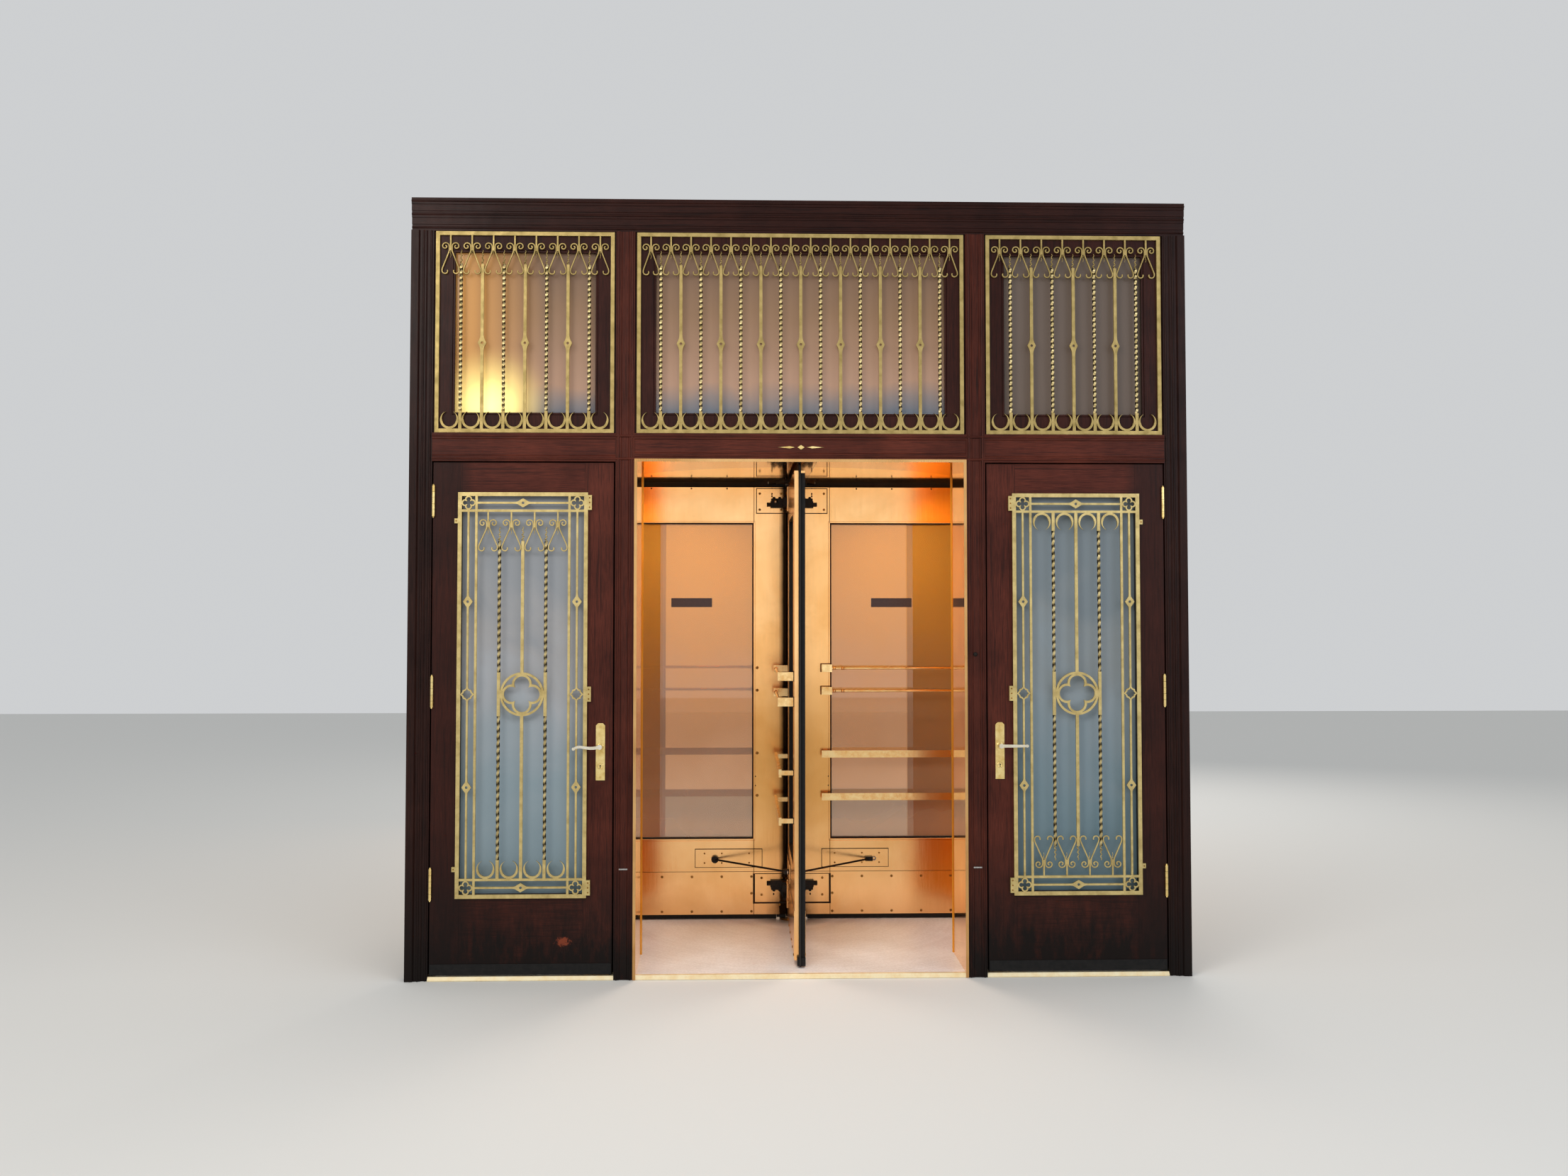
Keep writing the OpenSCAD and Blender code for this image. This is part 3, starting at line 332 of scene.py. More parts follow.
beads = bmesh.new()
for side in BOTH:
    for height in (rail_low + bead_in, rail_high - bead_in):
        ring = bmesh.ops.create_circle(beads, cap_ends=True, segments=16, radius=bead_r)["verts"]
        bmesh.ops.rotate(beads, cent=(0, 0, 0), matrix=Matrix.Rotation(math.pi / 2, 3, "Y"), verts=ring)
        bmesh.ops.translate(beads, vec=(side * mullion_in, front_y, height), verts=ring)
        pull(beads, list(ring[0].link_faces), (side * (mullion_out - mullion_in), 0, 0))
keep("rail_beads_over_mullions", beads, "screen", level_mahogany)


def aged_metal(name, deep, bright, roughness, metallic=1.0, crevice_dirt_and_shade=0.0, paint=None):
    """Satin metal: clouds of tarnish between a deep and a bright colour, with a fine uneven polish.

    paint may add nodes that change the colour from place to place.
    """
    finish, put, place = new_finish(name)
    tarnish = put("TexNoise", {"Vector": place, "Scale": 1 / (45 * MM), "Detail": 6.0, "Roughness": 0.65})
    grain = put("TexNoise", {"Vector": place, "Scale": 1 / (3 * MM), "Detail": 2.0, "Roughness": 0.5})
    colour = put("ValToRGB", [tarnish], [(0.3, deep), (0.62, bright)])
    if crevice_dirt_and_shade:
        # Hollows found by ambient occlusion turn dark brown: partly dirt and tarnish, partly painted
        # shade.
        hidden = put("AmbientOcclusion", {"Distance": 6 * MM}, out="AO", samples=4)
        hollow_dirt_and_shade = put("MapRange", [hidden, 0.35, 0.8, crevice_dirt_and_shade, 0.0])
        colour = put("Mix", {0: hollow_dirt_and_shade, 6: colour, 7: "#3a2c14"}, **COLOURS)
    if paint:
        colour = paint(put, place, colour)
    polish = put("MapRange", [tarnish, 0.3, 0.7, roughness + 0.1, roughness - 0.05])
    bump = put("Bump", {"Height": grain, "Strength": 0.15, "Distance": 0.2 * MM})
    put("OutputMaterial", [put("BsdfPrincipled", {
        "Base Color": colour, "Metallic": metallic, "Roughness": polish, "Normal": bump,
    })])
    return finish


def flat_part(outline, thickness, ease=0.0):
    """A part cut to an outline in XY, with its thickness along Z and its edges eased."""
    part = bmesh.new()
    part.faces.new([part.verts.new((x, y, 0.0)) for x, y in outline])
    pull(part, part.faces[:], (0, 0, thickness))
    if ease:
        ease_edges(part, part.edges[:], ease)
    return part


hardware_brass = aged_metal("lacquered_brass", "#d6b264", "#ffe6a0", 0.28)
middle = (0.5, front_y + 4.2, 2216.0)
lozenge = flat_part([(-16, 0), (0, -11), (16, 0), (0, 11)], 4.0, 1.2)
blade = flat_part([(24, 0), (48, -5.5), (98, 0), (48, 5.5)], 3.5, 0.9)
ornament = copies(lozenge, [facing(FRONT, middle)])
copies(blade, [facing(FRONT, middle, turn) for turn in (0.0, math.pi)], ornament)
keep("rail_ornament", ornament, "screen", hardware_brass)

# Transom lights: darker mahogany sashes with mitred glazing beads, glazed with frosted glass. The
# left light has a painted glow of lamp light in it, given off as emission, and painted warm lamp
# light over its left part; the others are rosy grey with a painted bluish reflection at the foot,
# the right one darker.

sash_face, sash_w, sash_out = front_y + 20.0, 86.0, 1545.0
light_low, light_high = 2273.0, 3128.0
glow_x, glow_z = -1.314, 2.383
bead_w, bead_deep, bead_over = 9.0, 7.0, 7.0
sash_mahogany = mahogany("dark_sash_mahogany", 1.0, "#1e0c08", "#3c1a12", 0.01)
dress(sash_mahogany, "left_transom_sash", "right_transom_sash", "centre_transom_sash")


def frosted_glass(name, tint):
    """Frosted glass, milky under a smooth face; tint adds the nodes of its colour and painted glow."""
    finish, put, place = new_finish(name)
    colour, glow = tint(put, place)
    put("OutputMaterial", [put("BsdfPrincipled", {
        "Base Color": colour, "Emission Color": colour, "Emission Strength": glow, "Roughness": 0.45,
        "IOR": 1.5, "Specular IOR Level": 0.35, "Coat Weight": 0.35, "Coat Roughness": 0.05,
    })])
    return finish


def rosy_painted_glow(put, place):
    """Rosy grey over a painted bluish reflection at the foot, with painted warm lamp light to the
    left, darker to the right, and one soft round painted glow.
    """
    side, height = (put("SeparateXYZ", [place], out=axis) for axis in "XZ")
    clouds = put("TexNoise", {"Vector": place, "Scale": 3.0, "Detail": 3.0, "Distortion": 0.6})
    share = put("Math", [clouds, 0.22, put("MapRange", [height, 2.36, 3.04])], operation="MULTIPLY_ADD")
    rosy = put("ValToRGB", [share], [
        (0.1, "#5e6672"), (0.2, "#80736f"), (0.3, "#a28069"), (0.75, "#84664b"), (1.0, "#765b46"),
    ])
    right = put("MapRange", [side, 0.62, 0.85])
    rosy = put("Mix", {0: right, 6: rosy, 7: "#5e5046"}, **COLOURS)
    left = put("MapRange", [side, -1.08, -1.38])
    rosy = put("Mix", {0: left, 6: rosy, 7: "#c08a48"}, **COLOURS)
    # One soft round painted glow of a lamp behind the glass, given off as emission, with a little spill
    # over the left part.
    centre = {"Vector": place, "Location": (-glow_x, 0.0, -glow_z), "Scale": (1.0, 0.0, 1.0)}
    away = put("VectorMath", [put("Mapping", centre)], operation="LENGTH", out="Value")
    glow = put("MapRange", [away, 0.03, 0.3, 1.0, 0.0], interpolation_type="SMOOTHERSTEP")
    core = put("MapRange", [away, 0.0, 0.13, 0.9, 0.0])
    spill = put("Math", [left, 0.05, core], operation="MULTIPLY_ADD")
    colour = put("Mix", {0: glow, 6: rosy, 7: "#ffe48c"}, **COLOURS)
    return colour, put("Math", [glow, 0.3, spill], operation="MULTIPLY_ADD")


def ring_part(width, height, bar, thickness, ease=0.0):
    """A rectangular frame about the origin in XY, mitred at its corners, with its thickness along Z."""
    part = bmesh.new()
    bmesh.ops.create_grid(part, x_segments=1, y_segments=1, size=0.5)
    bmesh.ops.scale(part, vec=(width, height, 1.0), verts=part.verts)
    pane = part.faces[:]
    bmesh.ops.inset_region(part, faces=pane, thickness=bar, use_boundary=True, use_even_offset=True)
    bmesh.ops.delete(part, geom=pane, context="FACES_ONLY")
    pull(part, part.faces[:], (0, 0, thickness))
    if ease:
        sharp = [edge for edge in part.edges if len(edge.link_faces) == 2 and edge.calc_face_angle() > 1.0]
        ease_edges(part, sharp, ease)
    return part


dress(frosted_glass("frosted_transom_glass", rosy_painted_glow), "transom_glass")
glazing = bmesh.new()
glass_h = light_high - light_low - 2 * sash_w
for low_x, high_x in ((-sash_out, -mullion_out), (-mullion_in, mullion_in), (mullion_out, sash_out)):
    glass_w = high_x - low_x - 2 * sash_w
    bead = ring_part(glass_w + 2 * bead_over, glass_h + 2 * bead_over, bead_w, bead_deep, 1.6)
    centre = ((low_x + high_x) / 2, sash_face + 8.0, (light_low + light_high) / 2)
    copies(bead, [facing(FRONT, centre)], glazing)
keep("transom_glazing_beads", glazing, "screen", sash_mahogany)

# Grilles of the transom lights: flat brass bars riveted together, with open rings at the foot and a
# row of forged scrolls hung from stems at the head. The scrolls run out in curls, and every stem and
# upright ends in a rod wound like a corkscrew. Aged to a pale olive gold, with dirt and painted shade
# in the corners.

rings_of = {"left": 8, "centre": 16, "right": 8}
frame_bar, upright_w, upright_top = 16.0, 13.0, 122.0
stem_w, stem_l, head_h = 7.0, 66.0, 167.0
scroll_w, scroll_drop, scroll_fall, sway = 5.2, 62.0, 88.0, 30.0
curl = [(0, 14.0), (15.0, -90), (13.0, -90), (10.0, -90), (7.0, -90), (4.4, -100)]
hook = [(13.0, -95), (10.5, -75), (7.0, -50)]
grille_brass = aged_metal("aged_grille_brass", "#ad9760", "#d3bd80", 0.4, 0.8, 0.75)
dull_brass = aged_metal("dull_transom_brass", "#937f4a", "#b7a066", 0.44, 0.75, 0.75)


def hollow_out(bar):
    """Takes out the faces that drawing a bar step by step leaves inside it."""
    inner = [face for face in bar.faces if all(len(edge.link_faces) > 2 for edge in face.edges)]
    bmesh.ops.delete(bar, geom=inner, context="FACES_ONLY")
    return bar


def bent_bar(place, heading, wide, deep, bends):
    """A flat bar on edge in an upright plane, bent from a place in arcs and straight runs.

    A bend is (radius, degrees), positive to the left, and (0, length) is a straight run.
    """
    mesh = bmesh.new()
    spot, angle = Vector(place), math.radians(heading)
    bmesh.ops.create_grid(mesh, x_segments=1, y_segments=1, size=0.5)
    bmesh.ops.scale(mesh, vec=(wide, deep, 1.0), verts=mesh.verts)
    ease_edges(mesh, mesh.verts[:], 0.22 * wide, affect="VERTICES")
    end = mesh.faces[:]
    upright = Matrix.Rotation(math.pi / 2 - angle, 3, "Y")
    bmesh.ops.rotate(mesh, cent=(0, 0, 0), matrix=upright, verts=mesh.verts)
    bmesh.ops.translate(mesh, vec=spot, verts=mesh.verts)
    for radius, amount in bends:
        if radius:
            turn = math.radians(amount)
            inward = Vector((-math.sin(angle), 0.0, math.cos(angle))) * math.copysign(radius, turn)
            arc = {"axis": (0, -1, 0), "angle": turn, "steps": max(2, round(abs(amount) / 15))}
            made = bmesh.ops.spin(mesh, geom=end, cent=spot + inward, use_merge=False, **arc)["geom_last"]
            end = [item for item in made if isinstance(item, bmesh.types.BMFace)]
            spot = spot + inward + Matrix.Rotation(-turn, 3, "Y") @ -inward
            angle += turn
        else:
            run = Vector((math.cos(angle), 0.0, math.sin(angle))) * amount
            end = pull(mesh, end, run)
            spot = spot + run
    return hollow_out(mesh)


def wound_rod(length, thick, throw, turns, shrink=0.35, sides=6):
    """A rod wound round the Z axis while it is drawn up from the XY plane, and thinned on its way."""
    rod = bmesh.new()
    bmesh.ops.create_circle(rod, cap_ends=True, segments=sides, radius=thick / 2)
    bmesh.ops.translate(rod, vec=(throw, 0, 0), verts=rod.verts)
    end = rod.faces[:]
    steps = round(12 * turns)
    turn, thin = Matrix.Rotation(math.tau * turns / steps, 3, "Z"), shrink ** (1 / steps)
    for _ in range(steps):
        end = pull(rod, end, (0, 0, length / steps))
        ring = list(end[0].verts)
        bmesh.ops.rotate(rod, cent=(0, 0, 0), matrix=turn, verts=ring)
        bmesh.ops.scale(rod, vec=(thin, thin, 1.0), verts=ring)
    return hollow_out(rod)


def scroll_heads(pitch, count, deep):
    """The row of scrolls, stems and points that hangs under Z 0, centred on X 0 and Y 0."""
    start_x, end_x = (stem_w + scroll_w) / 2 - 0.2, (pitch - upright_w - scroll_w) / 2 + 0.2
    apart = Vector((end_x - start_x - 2 * sway, -scroll_fall))
    slant = math.degrees(math.atan2(apart.y, apart.x) + math.asin(2 * sway / apart.length)) + 90.0
    sweep = [(sway, slant), (0, math.sqrt(apart.length ** 2 - 4 * sway ** 2)), (sway, -slant)]
    scroll = bent_bar((start_x, 0, -scroll_drop), 90.0, scroll_w, deep - 2.0, curl)
    lower = bent_bar((start_x, 0, -scroll_drop), -90.0, scroll_w, deep - 2.0, sweep + hook)
    copies(lower, [Matrix()], scroll)
    row, places, points, tops = bmesh.new(), [], [], []
    for i in range(count):
        x, half_y = (i - (count - 1) / 2) * pitch, deep / 2 - 1
        spot = Matrix.Translation((x, 0, 0))
        places += [spot, spot @ Matrix.Diagonal((-1, 1, 1, 1))]
        points.append(Matrix.Translation((x, 0, 1 - stem_l)) @ Matrix.Rotation(math.pi, 4, "X"))
        eased_block(row, (x - stem_w / 2, -half_y, -stem_l), (x + stem_w / 2, half_y, 0.3), 0.8)
    copies(scroll, places, row)
    copies(wound_rod(30.0, 5.4, 2.4, 1.5), points, row)
    for i in range(1, count):
        x, half_w = (i - count / 2) * pitch, upright_w / 2
        if i % 2 == 0:
            foot, top = (x - half_w, -deep / 2, -head_h - 0.3), (x + half_w, deep / 2, -upright_top)
            eased_block(row, foot, top, 0.9)
        tops.append(Matrix.Translation((x, 0, -upright_top - 2.0)))
    return copies(wound_rod(62.0, 8.6, 3.4, 3.25, 0.5), tops, row)


def forged_grille(name, node, body, middle, field_w, pitch, count, underside, deep, brass, turned=1):
    """A grille in the shape of its CAD node, with the scroll row between its bars forged in full."""
    mesh = bmesh.new()
    mesh.from_mesh(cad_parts[node].data)
    bmesh.ops.scale(mesh, vec=(1 / MM, 1 / MM, 1 / MM), verts=mesh.verts)
    bmesh.ops.remove_doubles(mesh, verts=mesh.verts, dist=0.001)
    low_z, high_z = sorted((underside - turned * 0.3, underside - turned * (head_h - 1.0)))
    centre = Vector((middle.x, 0.0, (low_z + high_z) / 2))
    half = Vector((field_w / 2 - 0.3, 0.0, (high_z - low_z) / 2))
    for normal in (Vector((1, 0, 0)), Vector((0, 0, 1))):
        for end in BOTH:
            whole = mesh.verts[:] + mesh.edges[:] + mesh.faces[:]
            cut = centre + normal * end * half.dot(normal)
            bmesh.ops.bisect_plane(mesh, geom=whole, plane_co=cut, plane_no=normal)
    aways = [(face, face.calc_center_median() - centre) for face in mesh.faces]
    cut_out = [face for face, away in aways if abs(away.x) < half.x and abs(away.z) < half.z]
    bmesh.ops.delete(mesh, geom=cut_out, context="FACES")
    bmesh.ops.holes_fill(mesh, edges=[edge for edge in mesh.edges if edge.is_boundary])
    place = Matrix.Translation((middle.x, middle.y, underside)) @ Matrix.Diagonal((1, 1, turned, 1))
    copies(scroll_heads(pitch, count, deep), [place], mesh)
    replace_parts(keep(name, mesh, body, brass), node)


twisted_x = []
for side, rings in rings_of.items():
    name, node = f"{side}_forged_transom_grille", f"{side}_transom_grille"
    low, high = (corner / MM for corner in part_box(node))
    middle, field_w, deep = (low + high) / 2, high.x - low.x - 2 * frame_bar, high.y - low.y
    pitch, under = field_w / rings, high.z - frame_bar
    forged_grille(name, node, "screen", middle, field_w, pitch, rings, under, deep, dull_brass)
    twisted_x += [middle.x + (i - rings / 2) * pitch for i in range(1, rings, 2)]

# Twisted uprights: square brass bars twisted cold, in tighter steps over the transom than in the
# doors. The flats that face the front keep the brass colour; those that face a side get painted dark
# shade, which marks each quarter turn.

bar_across, twist_step, door_twist_step, past_hooks = 14.6, 23.0, 31.0, 44.0


def side_painted_shade(put, place, colour):
    """Painted dark shade on whatever faces to a side."""
    slope = put("SeparateXYZ", [put("TexCoord", out="Normal")], out="X")
    away = put("Math", [slope], operation="ABSOLUTE")
    dark = put("MapRange", [away, 0.2, 0.75, 0.0, 0.94])
    return put("Mix", {0: dark, 6: colour, 7: "#2a1f10"}, **COLOURS)


def twisted_bars(name, node, body, step, runs):
    """Twisted bars that stand for a node: a run is (x, y, low, high), with a quarter turn in a step."""
    mesh = bmesh.new()
    for x, y, low_z, high_z in runs:
        turns = round((high_z - low_z) / step) / 4
        bar = wound_rod(high_z - low_z, bar_across, 0.0, turns, 1.0, 4)
        copies(bar, [Matrix.Translation((x, y, low_z))], mesh)
    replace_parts(keep(name, mesh, body, twisted_brass), node)


twisted_brass = aged_metal("twisted_bar_brass", "#9c8752", "#d4c08a", 0.34, 0.8, 0.4, side_painted_shade)
low, high = (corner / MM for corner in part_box("transom_twisted_bars"))
runs = [(x, (low.y + high.y) / 2, low.z, high.z + past_hooks) for x in twisted_x]
twisted_bars("tight_twisted_transom_bars", "transom_twisted_bars", "screen", twist_step, runs)

# Thresholds and front sill: drawn brass bars laid at the foot of the doors and of the mouth. Feet
# keep them bright, apart from dull patches.

sill_brass = aged_metal("worn_sill_brass", "#f4dba8", "#fff2cc", 0.36, 0.5)
dress(sill_brass, "door_thresholds", "front_sill")

# Drum floor: a honed limestone slab, pale beige, with faint rings rubbed into it by the brushes and
# oily dirt near the axis.

limestone, put, place = new_finish("honed_limestone")
grit = put("TexNoise", {"Vector": place, "Scale": 1 / (11 * MM), "Detail": 8.0, "Roughness": 0.7})
clouds = put("TexNoise", {"Vector": place, "Scale": 3.5, "Detail": 5.0})
base = put("ValToRGB", [clouds], [(0.3, "#dcd6d3"), (0.7, "#f6f5f5")])
specks = put("ValToRGB", [grit], [(0.4, "#c4bab2"), (0.6, "#faf6f2")])
stone = put("Mix", {0: 0.3, 6: base, 7: specks}, **COLOURS)
level = put("Mapping", {"Vector": place, "Scale": (1.0, 1.0, 0.0)})
radius = put("VectorMath", [level], operation="LENGTH", out="Value")
rubbed = put("TexNoise", {"W": radius, "Scale": 34.0, "Detail": 4.0}, noise_dimensions="1D")
rings = put("ValToRGB", [rubbed], [(0.4, "#e2dcd6"), (0.62, "#ffffff")])
stone = put("Mix", {0: 0.16, 6: stone, 7: rings}, **DARKEN)
inner = put("MapRange", [radius, 0.06, 0.7, 0.6, 0.0])
stone = put("Mix", {0: inner, 6: stone, 7: "#b08560"}, **COLOURS)
oily = put("MapRange", [radius, 0.05, 0.2, 0.9, 0.0])
stone = put("Mix", {0: oily, 6: stone, 7: "#1c1410"}, **COLOURS)
put("OutputMaterial", [put("BsdfPrincipled", {
    "Base Color": stone, "Roughness": 0.35, "IOR": 1.5, "Specular IOR Level": 0.4, "Coat Weight": 0.1,
    "Coat Roughness": 0.2,
})])
dress(limestone, "drum_floor")

# Drum: curved sheet bronze on the walls, mirror-polished panels in the reveals, and a polished
# ceiling with a brighter disc over the wings. The metal is a warm copper gold.

disc_r, strip_half = 0.85, 0.066


def sheet_bronze(name, deep, bright, roughness, paint=None, metallic=1.0):
    """Polished sheet bronze: broad soft clouds, fine upright brush marks and a few darker spots.

    paint may add nodes that change the colour from place to place.
    """
    finish, put, place = new_finish(name)
    broad = {"Vector": place, "Scale": 3.0, "Detail": 5.0, "Roughness": 0.55, "Distortion": 0.5}
    drawn = put("Mapping", {"Vector": place, "Scale": (1 / (2 * MM), 1 / (2 * MM), 1 / (160 * MM))})
    brushing = put("TexNoise", {"Vector": drawn, "Scale": 1.0, "Detail": 3.0})
    spots = put("TexNoise", {"Vector": place, "Scale": 1 / (26 * MM), "Detail": 8.0, "Roughness": 0.8})
    colour = put("ValToRGB", [put("TexNoise", broad)], [(0.3, deep), (0.65, bright)])
    tarnished = put("MapRange", [spots, 0.66, 0.82, 0.0, 0.4])
    colour = put("Mix", {0: tarnished, 6: colour, 7: "#8a5a2c"}, **COLOURS)
    if paint:
        colour = paint(put, place, colour)
    polish = put("MapRange", [brushing, 0.3, 0.7, roughness - 0.03, roughness + 0.05])
    bump = put("Bump", {"Height": brushing, "Strength": 0.04, "Distance": 0.15 * MM})
    put("OutputMaterial", [put("BsdfPrincipled", {
        "Base Color": colour, "Metallic": metallic, "Roughness": polish, "Normal": bump,
    })])
    return finish


def ceiling_disc(put, place, colour):
    """A brighter gold disc over the wings, duller outside it and along a strip from front to rear."""
    level = put("Mapping", {"Vector": place, "Scale": (1.0, 1.0, 0.0)})
    radius = put("VectorMath", [level], operation="LENGTH", out="Value")
    outside = put("Math", [radius, disc_r], operation="GREATER_THAN")
    offset = put("Math", [put("SeparateXYZ", [place], out="X")], operation="ABSOLUTE")
    strip = put("Math", [offset, strip_half], operation="LESS_THAN")
    dull = put("Math", [outside, strip], operation="MAXIMUM")
    rim = put("Math", [radius, disc_r, 2 * MM], operation="COMPARE")
    seam = put("Math", [offset, strip_half, 1.5 * MM], operation="COMPARE")
    line = put("Math", [rim, seam], operation="MAXIMUM")
    colour = put("Mix", {0: dull, 6: colour, 7: "#cf9a68"}, **COLOURS)
    return put("Mix", {0: line, 6: colour, 7: "#5a3818"}, **COLOURS)


dress(sheet_bronze("mirror_reveal_bronze", "#e6a25c", "#fcc888", 0.07), "left_reveal", "right_reveal")
dress(sheet_bronze("bright_trim_bronze", "#c08e54", "#e2b478", 0.25), "mouth_trim")
walls = [f"drum_wall_{end}_{side}" for end in ("front", "rear") for side in ("left", "right")]
drum_bronze = sheet_bronze("brushed_drum_bronze", "#e9a436", "#f4b344", 0.2, metallic=0.6)
dress(drum_bronze, *walls, "rear_jambs")
ceiling_bronze = sheet_bronze("polished_ceiling_bronze", "#fcc470", "#ffdc90", 0.06, ceiling_disc)
dress(ceiling_bronze, "drum_ceiling")
# The plate round the shaft is a dark bronze.
dress(aged_metal("dark_plate_bronze", "#2a1c12", "#4e3823", 0.5), "ceiling_plate")
dress(black_finish("dusty_cover_sheet", "#3c3833", "#6a635a", 0.75, 0.0), "drum_cover")

# Shaft: a black iron tube between a ceiling pivot and a bronze floor bearing. Old oil lies thick on
# both and dulls them.

dress(black_iron, "centre_shaft")
dress(aged_metal("oily_bearing_bronze", "#5a4020", "#94703e", 0.4), "floor_bearing")

# Wings: bronze sheet folded over a steel frame, with butt joints between stiles and rails. The
# polish is a warm copper gold, dulled to olive at knee height and black near the axis, with oil at
# the foot and painted shade up the whole height.

wings = ("right", "rear", "left", "front")
glass_in, glass_out = 188.0, 805.0
glass_low, glass_high = 410.0, 1954.0
wing_low, wing_high = 45.0, 2129.0
wing_in, wing_out, wing_tip = 29.0, 961.0, 995.0
skin_y, kick_y, plate_y, foot_plate_y = 22.4, 24.4, 27.3, 29.3


def wing_joints(put, place, colour):
    """Fine joint lines where the rails meet the stiles, an olive band, oil and painted shade near the
    axis.
    """
    x, y, height = (put("SeparateXYZ", [place], out=axis) for axis in "XYZ")
    x, y = (put("Math", [part], operation="ABSOLUTE") for part in (x, y))
    reach = put("Math", [x, y], operation="MAXIMUM")
    edges = (glass_in - 2, glass_out + 2)
    ends = [put("Math", [reach, edge * MM, 1.4 * MM], operation="COMPARE") for edge in edges]
    ends = put("Math", ends, operation="MAXIMUM")
    above = put("Math", [height, glass_high * MM], operation="GREATER_THAN")
    below = put("Math", [height, glass_low * MM], operation="LESS_THAN")
    rails = put("Math", [above, below], operation="MAXIMUM")
    line = put("Math", [ends, rails], operation="MULTIPLY")
    band = put("ValToRGB", [put("MapRange", [height, 0.0, 2.2])], [
        (0.1, "#ffffff"), (0.28, "#eadcbc"), (0.4, "#efe0c0"), (0.58, "#fffaf0"), (1.0, "#ffffff"),
    ])
    stile = put("MapRange", [reach, 0.19, 0.21, 1.0, 0.0])
    colour = put("Mix", {0: stile, 6: colour, 7: band}, **DARKEN)
    smear = put("TexNoise", {"Vector": place, "Scale": 14.0, "Detail": 6.0, "Roughness": 0.7})
    near = put("MapRange", [reach, 0.03, 0.13, 1.0, 0.0])
    foot = put("MapRange", [height, 0.06, 0.3, 1.0, 0.12])
    oil_and_shade = put("Math", [near, foot], operation="MULTIPLY")
    oil_and_shade = put("Math", [oil_and_shade, smear], operation="MULTIPLY")
    # Close to the axis the bronze darkens up its whole height: painted shade.
    core = put("MapRange", [reach, 0.04, 0.065, 0.42, 0.0])
    oil_and_shade = put("Math", [oil_and_shade, core], operation="ADD")
    oil_and_shade = put("Math", [oil_and_shade, 2.2], operation="MULTIPLY", use_clamp=True)
    colour = put("Mix", {0: oil_and_shade, 6: colour, 7: "#20140a"}, **COLOURS)
    return put("Mix", {0: line, 6: colour, 7: "#45260e"}, **COLOURS)


def keep_on_wings(name, mesh, finish):
    """Ends a piece that was modelled on the right wing, with a copy of it on each of the others."""
    quarters = [Matrix.Rotation(quarter * math.pi / 2, 4, "Z") for quarter in range(4)]
    keep(name, copies(mesh, quarters), "rotor", finish)


def on_faces(spots, turn=lambda: 0.0):
    """The transforms that set parts on both faces of the right wing, each with a turn of its own.

    A spot is the (x, y, z) of a part on the rear face.
    """
    return [facing((0, face, 0), (x, face * y, z), turn()) for face in BOTH for x, y, z in spots]


def rings_on_glass(reach, bar, thickness, ease, base_y):
    """A ring on each side of the wing glass, larger than the glass by a reach."""
    ring = ring_part(glass_out - glass_in + reach, glass_high - glass_low + reach, bar, thickness, ease)
    return copies(ring, on_faces([((glass_in + glass_out) / 2, base_y, (glass_low + glass_high) / 2)]))


wing_bronze = sheet_bronze("polished_wing_bronze", "#efb470", "#ffcb8e", 0.18, wing_joints)
dress(wing_bronze, *(f"{wing}_wing_frame" for wing in wings), "kick_plates", "wing_plates")
keep_on_wings("wing_glazing_beads", rings_on_glass(16.0, 8.5, 5.6, 1.2, 17.2), wing_bronze)

# Gaskets: black rubber pressed between the wing glass and its beads, drawn wide so that the band
# also stands for painted shadow of the beads on the glass. Dust lies in its pores and keeps it dull.

rubber = black_finish("dusty_black_rubber", "#070707", "#1e1b1a", 0.62, 0.0)
keep_on_wings("wing_glazing_gaskets", rings_on_glass(2.0, 7.6, 15.5, 0.8, 3.8), rubber)

# Wing glass: plate glass with an amber tint, polished on both sides, with a bare dark enamelled
# plate stuck on each side.

plate_low_x, plate_high_x, plate_low_z, plate_high_z = 392.0, 592.0, 1540.0, 1584.0
amber_glass, put, place = new_finish("amber_plate_glass")
height = put("SeparateXYZ", [place], out="Z")
clouds = put("TexNoise", {"Vector": place, "Scale": 3.2, "Detail": 3.0, "Distortion": 0.5})
# Golden at the head, paler towards the foot: the paler foot is a painted reflection of the floor.
share = put("Math", [clouds, 0.3, put("MapRange", [height, 0.4, 1.95])], operation="MULTIPLY_ADD")
stops = [(0.2, "#ccac8e"), (0.5, "#b89068"), (0.8, "#be8c46"), (1.0, "#be8a3c")]
put("OutputMaterial", [put("BsdfPrincipled", {
    "Base Color": put("ValToRGB", [share], stops), "Roughness": 0.02, "IOR": 1.52,
    "Transmission Weight": 0.62, "Coat Weight": 1.0, "Coat Roughness": 0.01,
})])
dress(amber_glass, "wing_glass")


def sheet_on_faces(mesh, low_x, high_x, low_z, high_z, base, top, ease):
    """Adds a flat sheet on both faces of the right wing, from one height over its middle to another."""
    for face in BOTH:
        eased_block(mesh, (low_x, face * base, low_z), (high_x, face * top, high_z), ease)


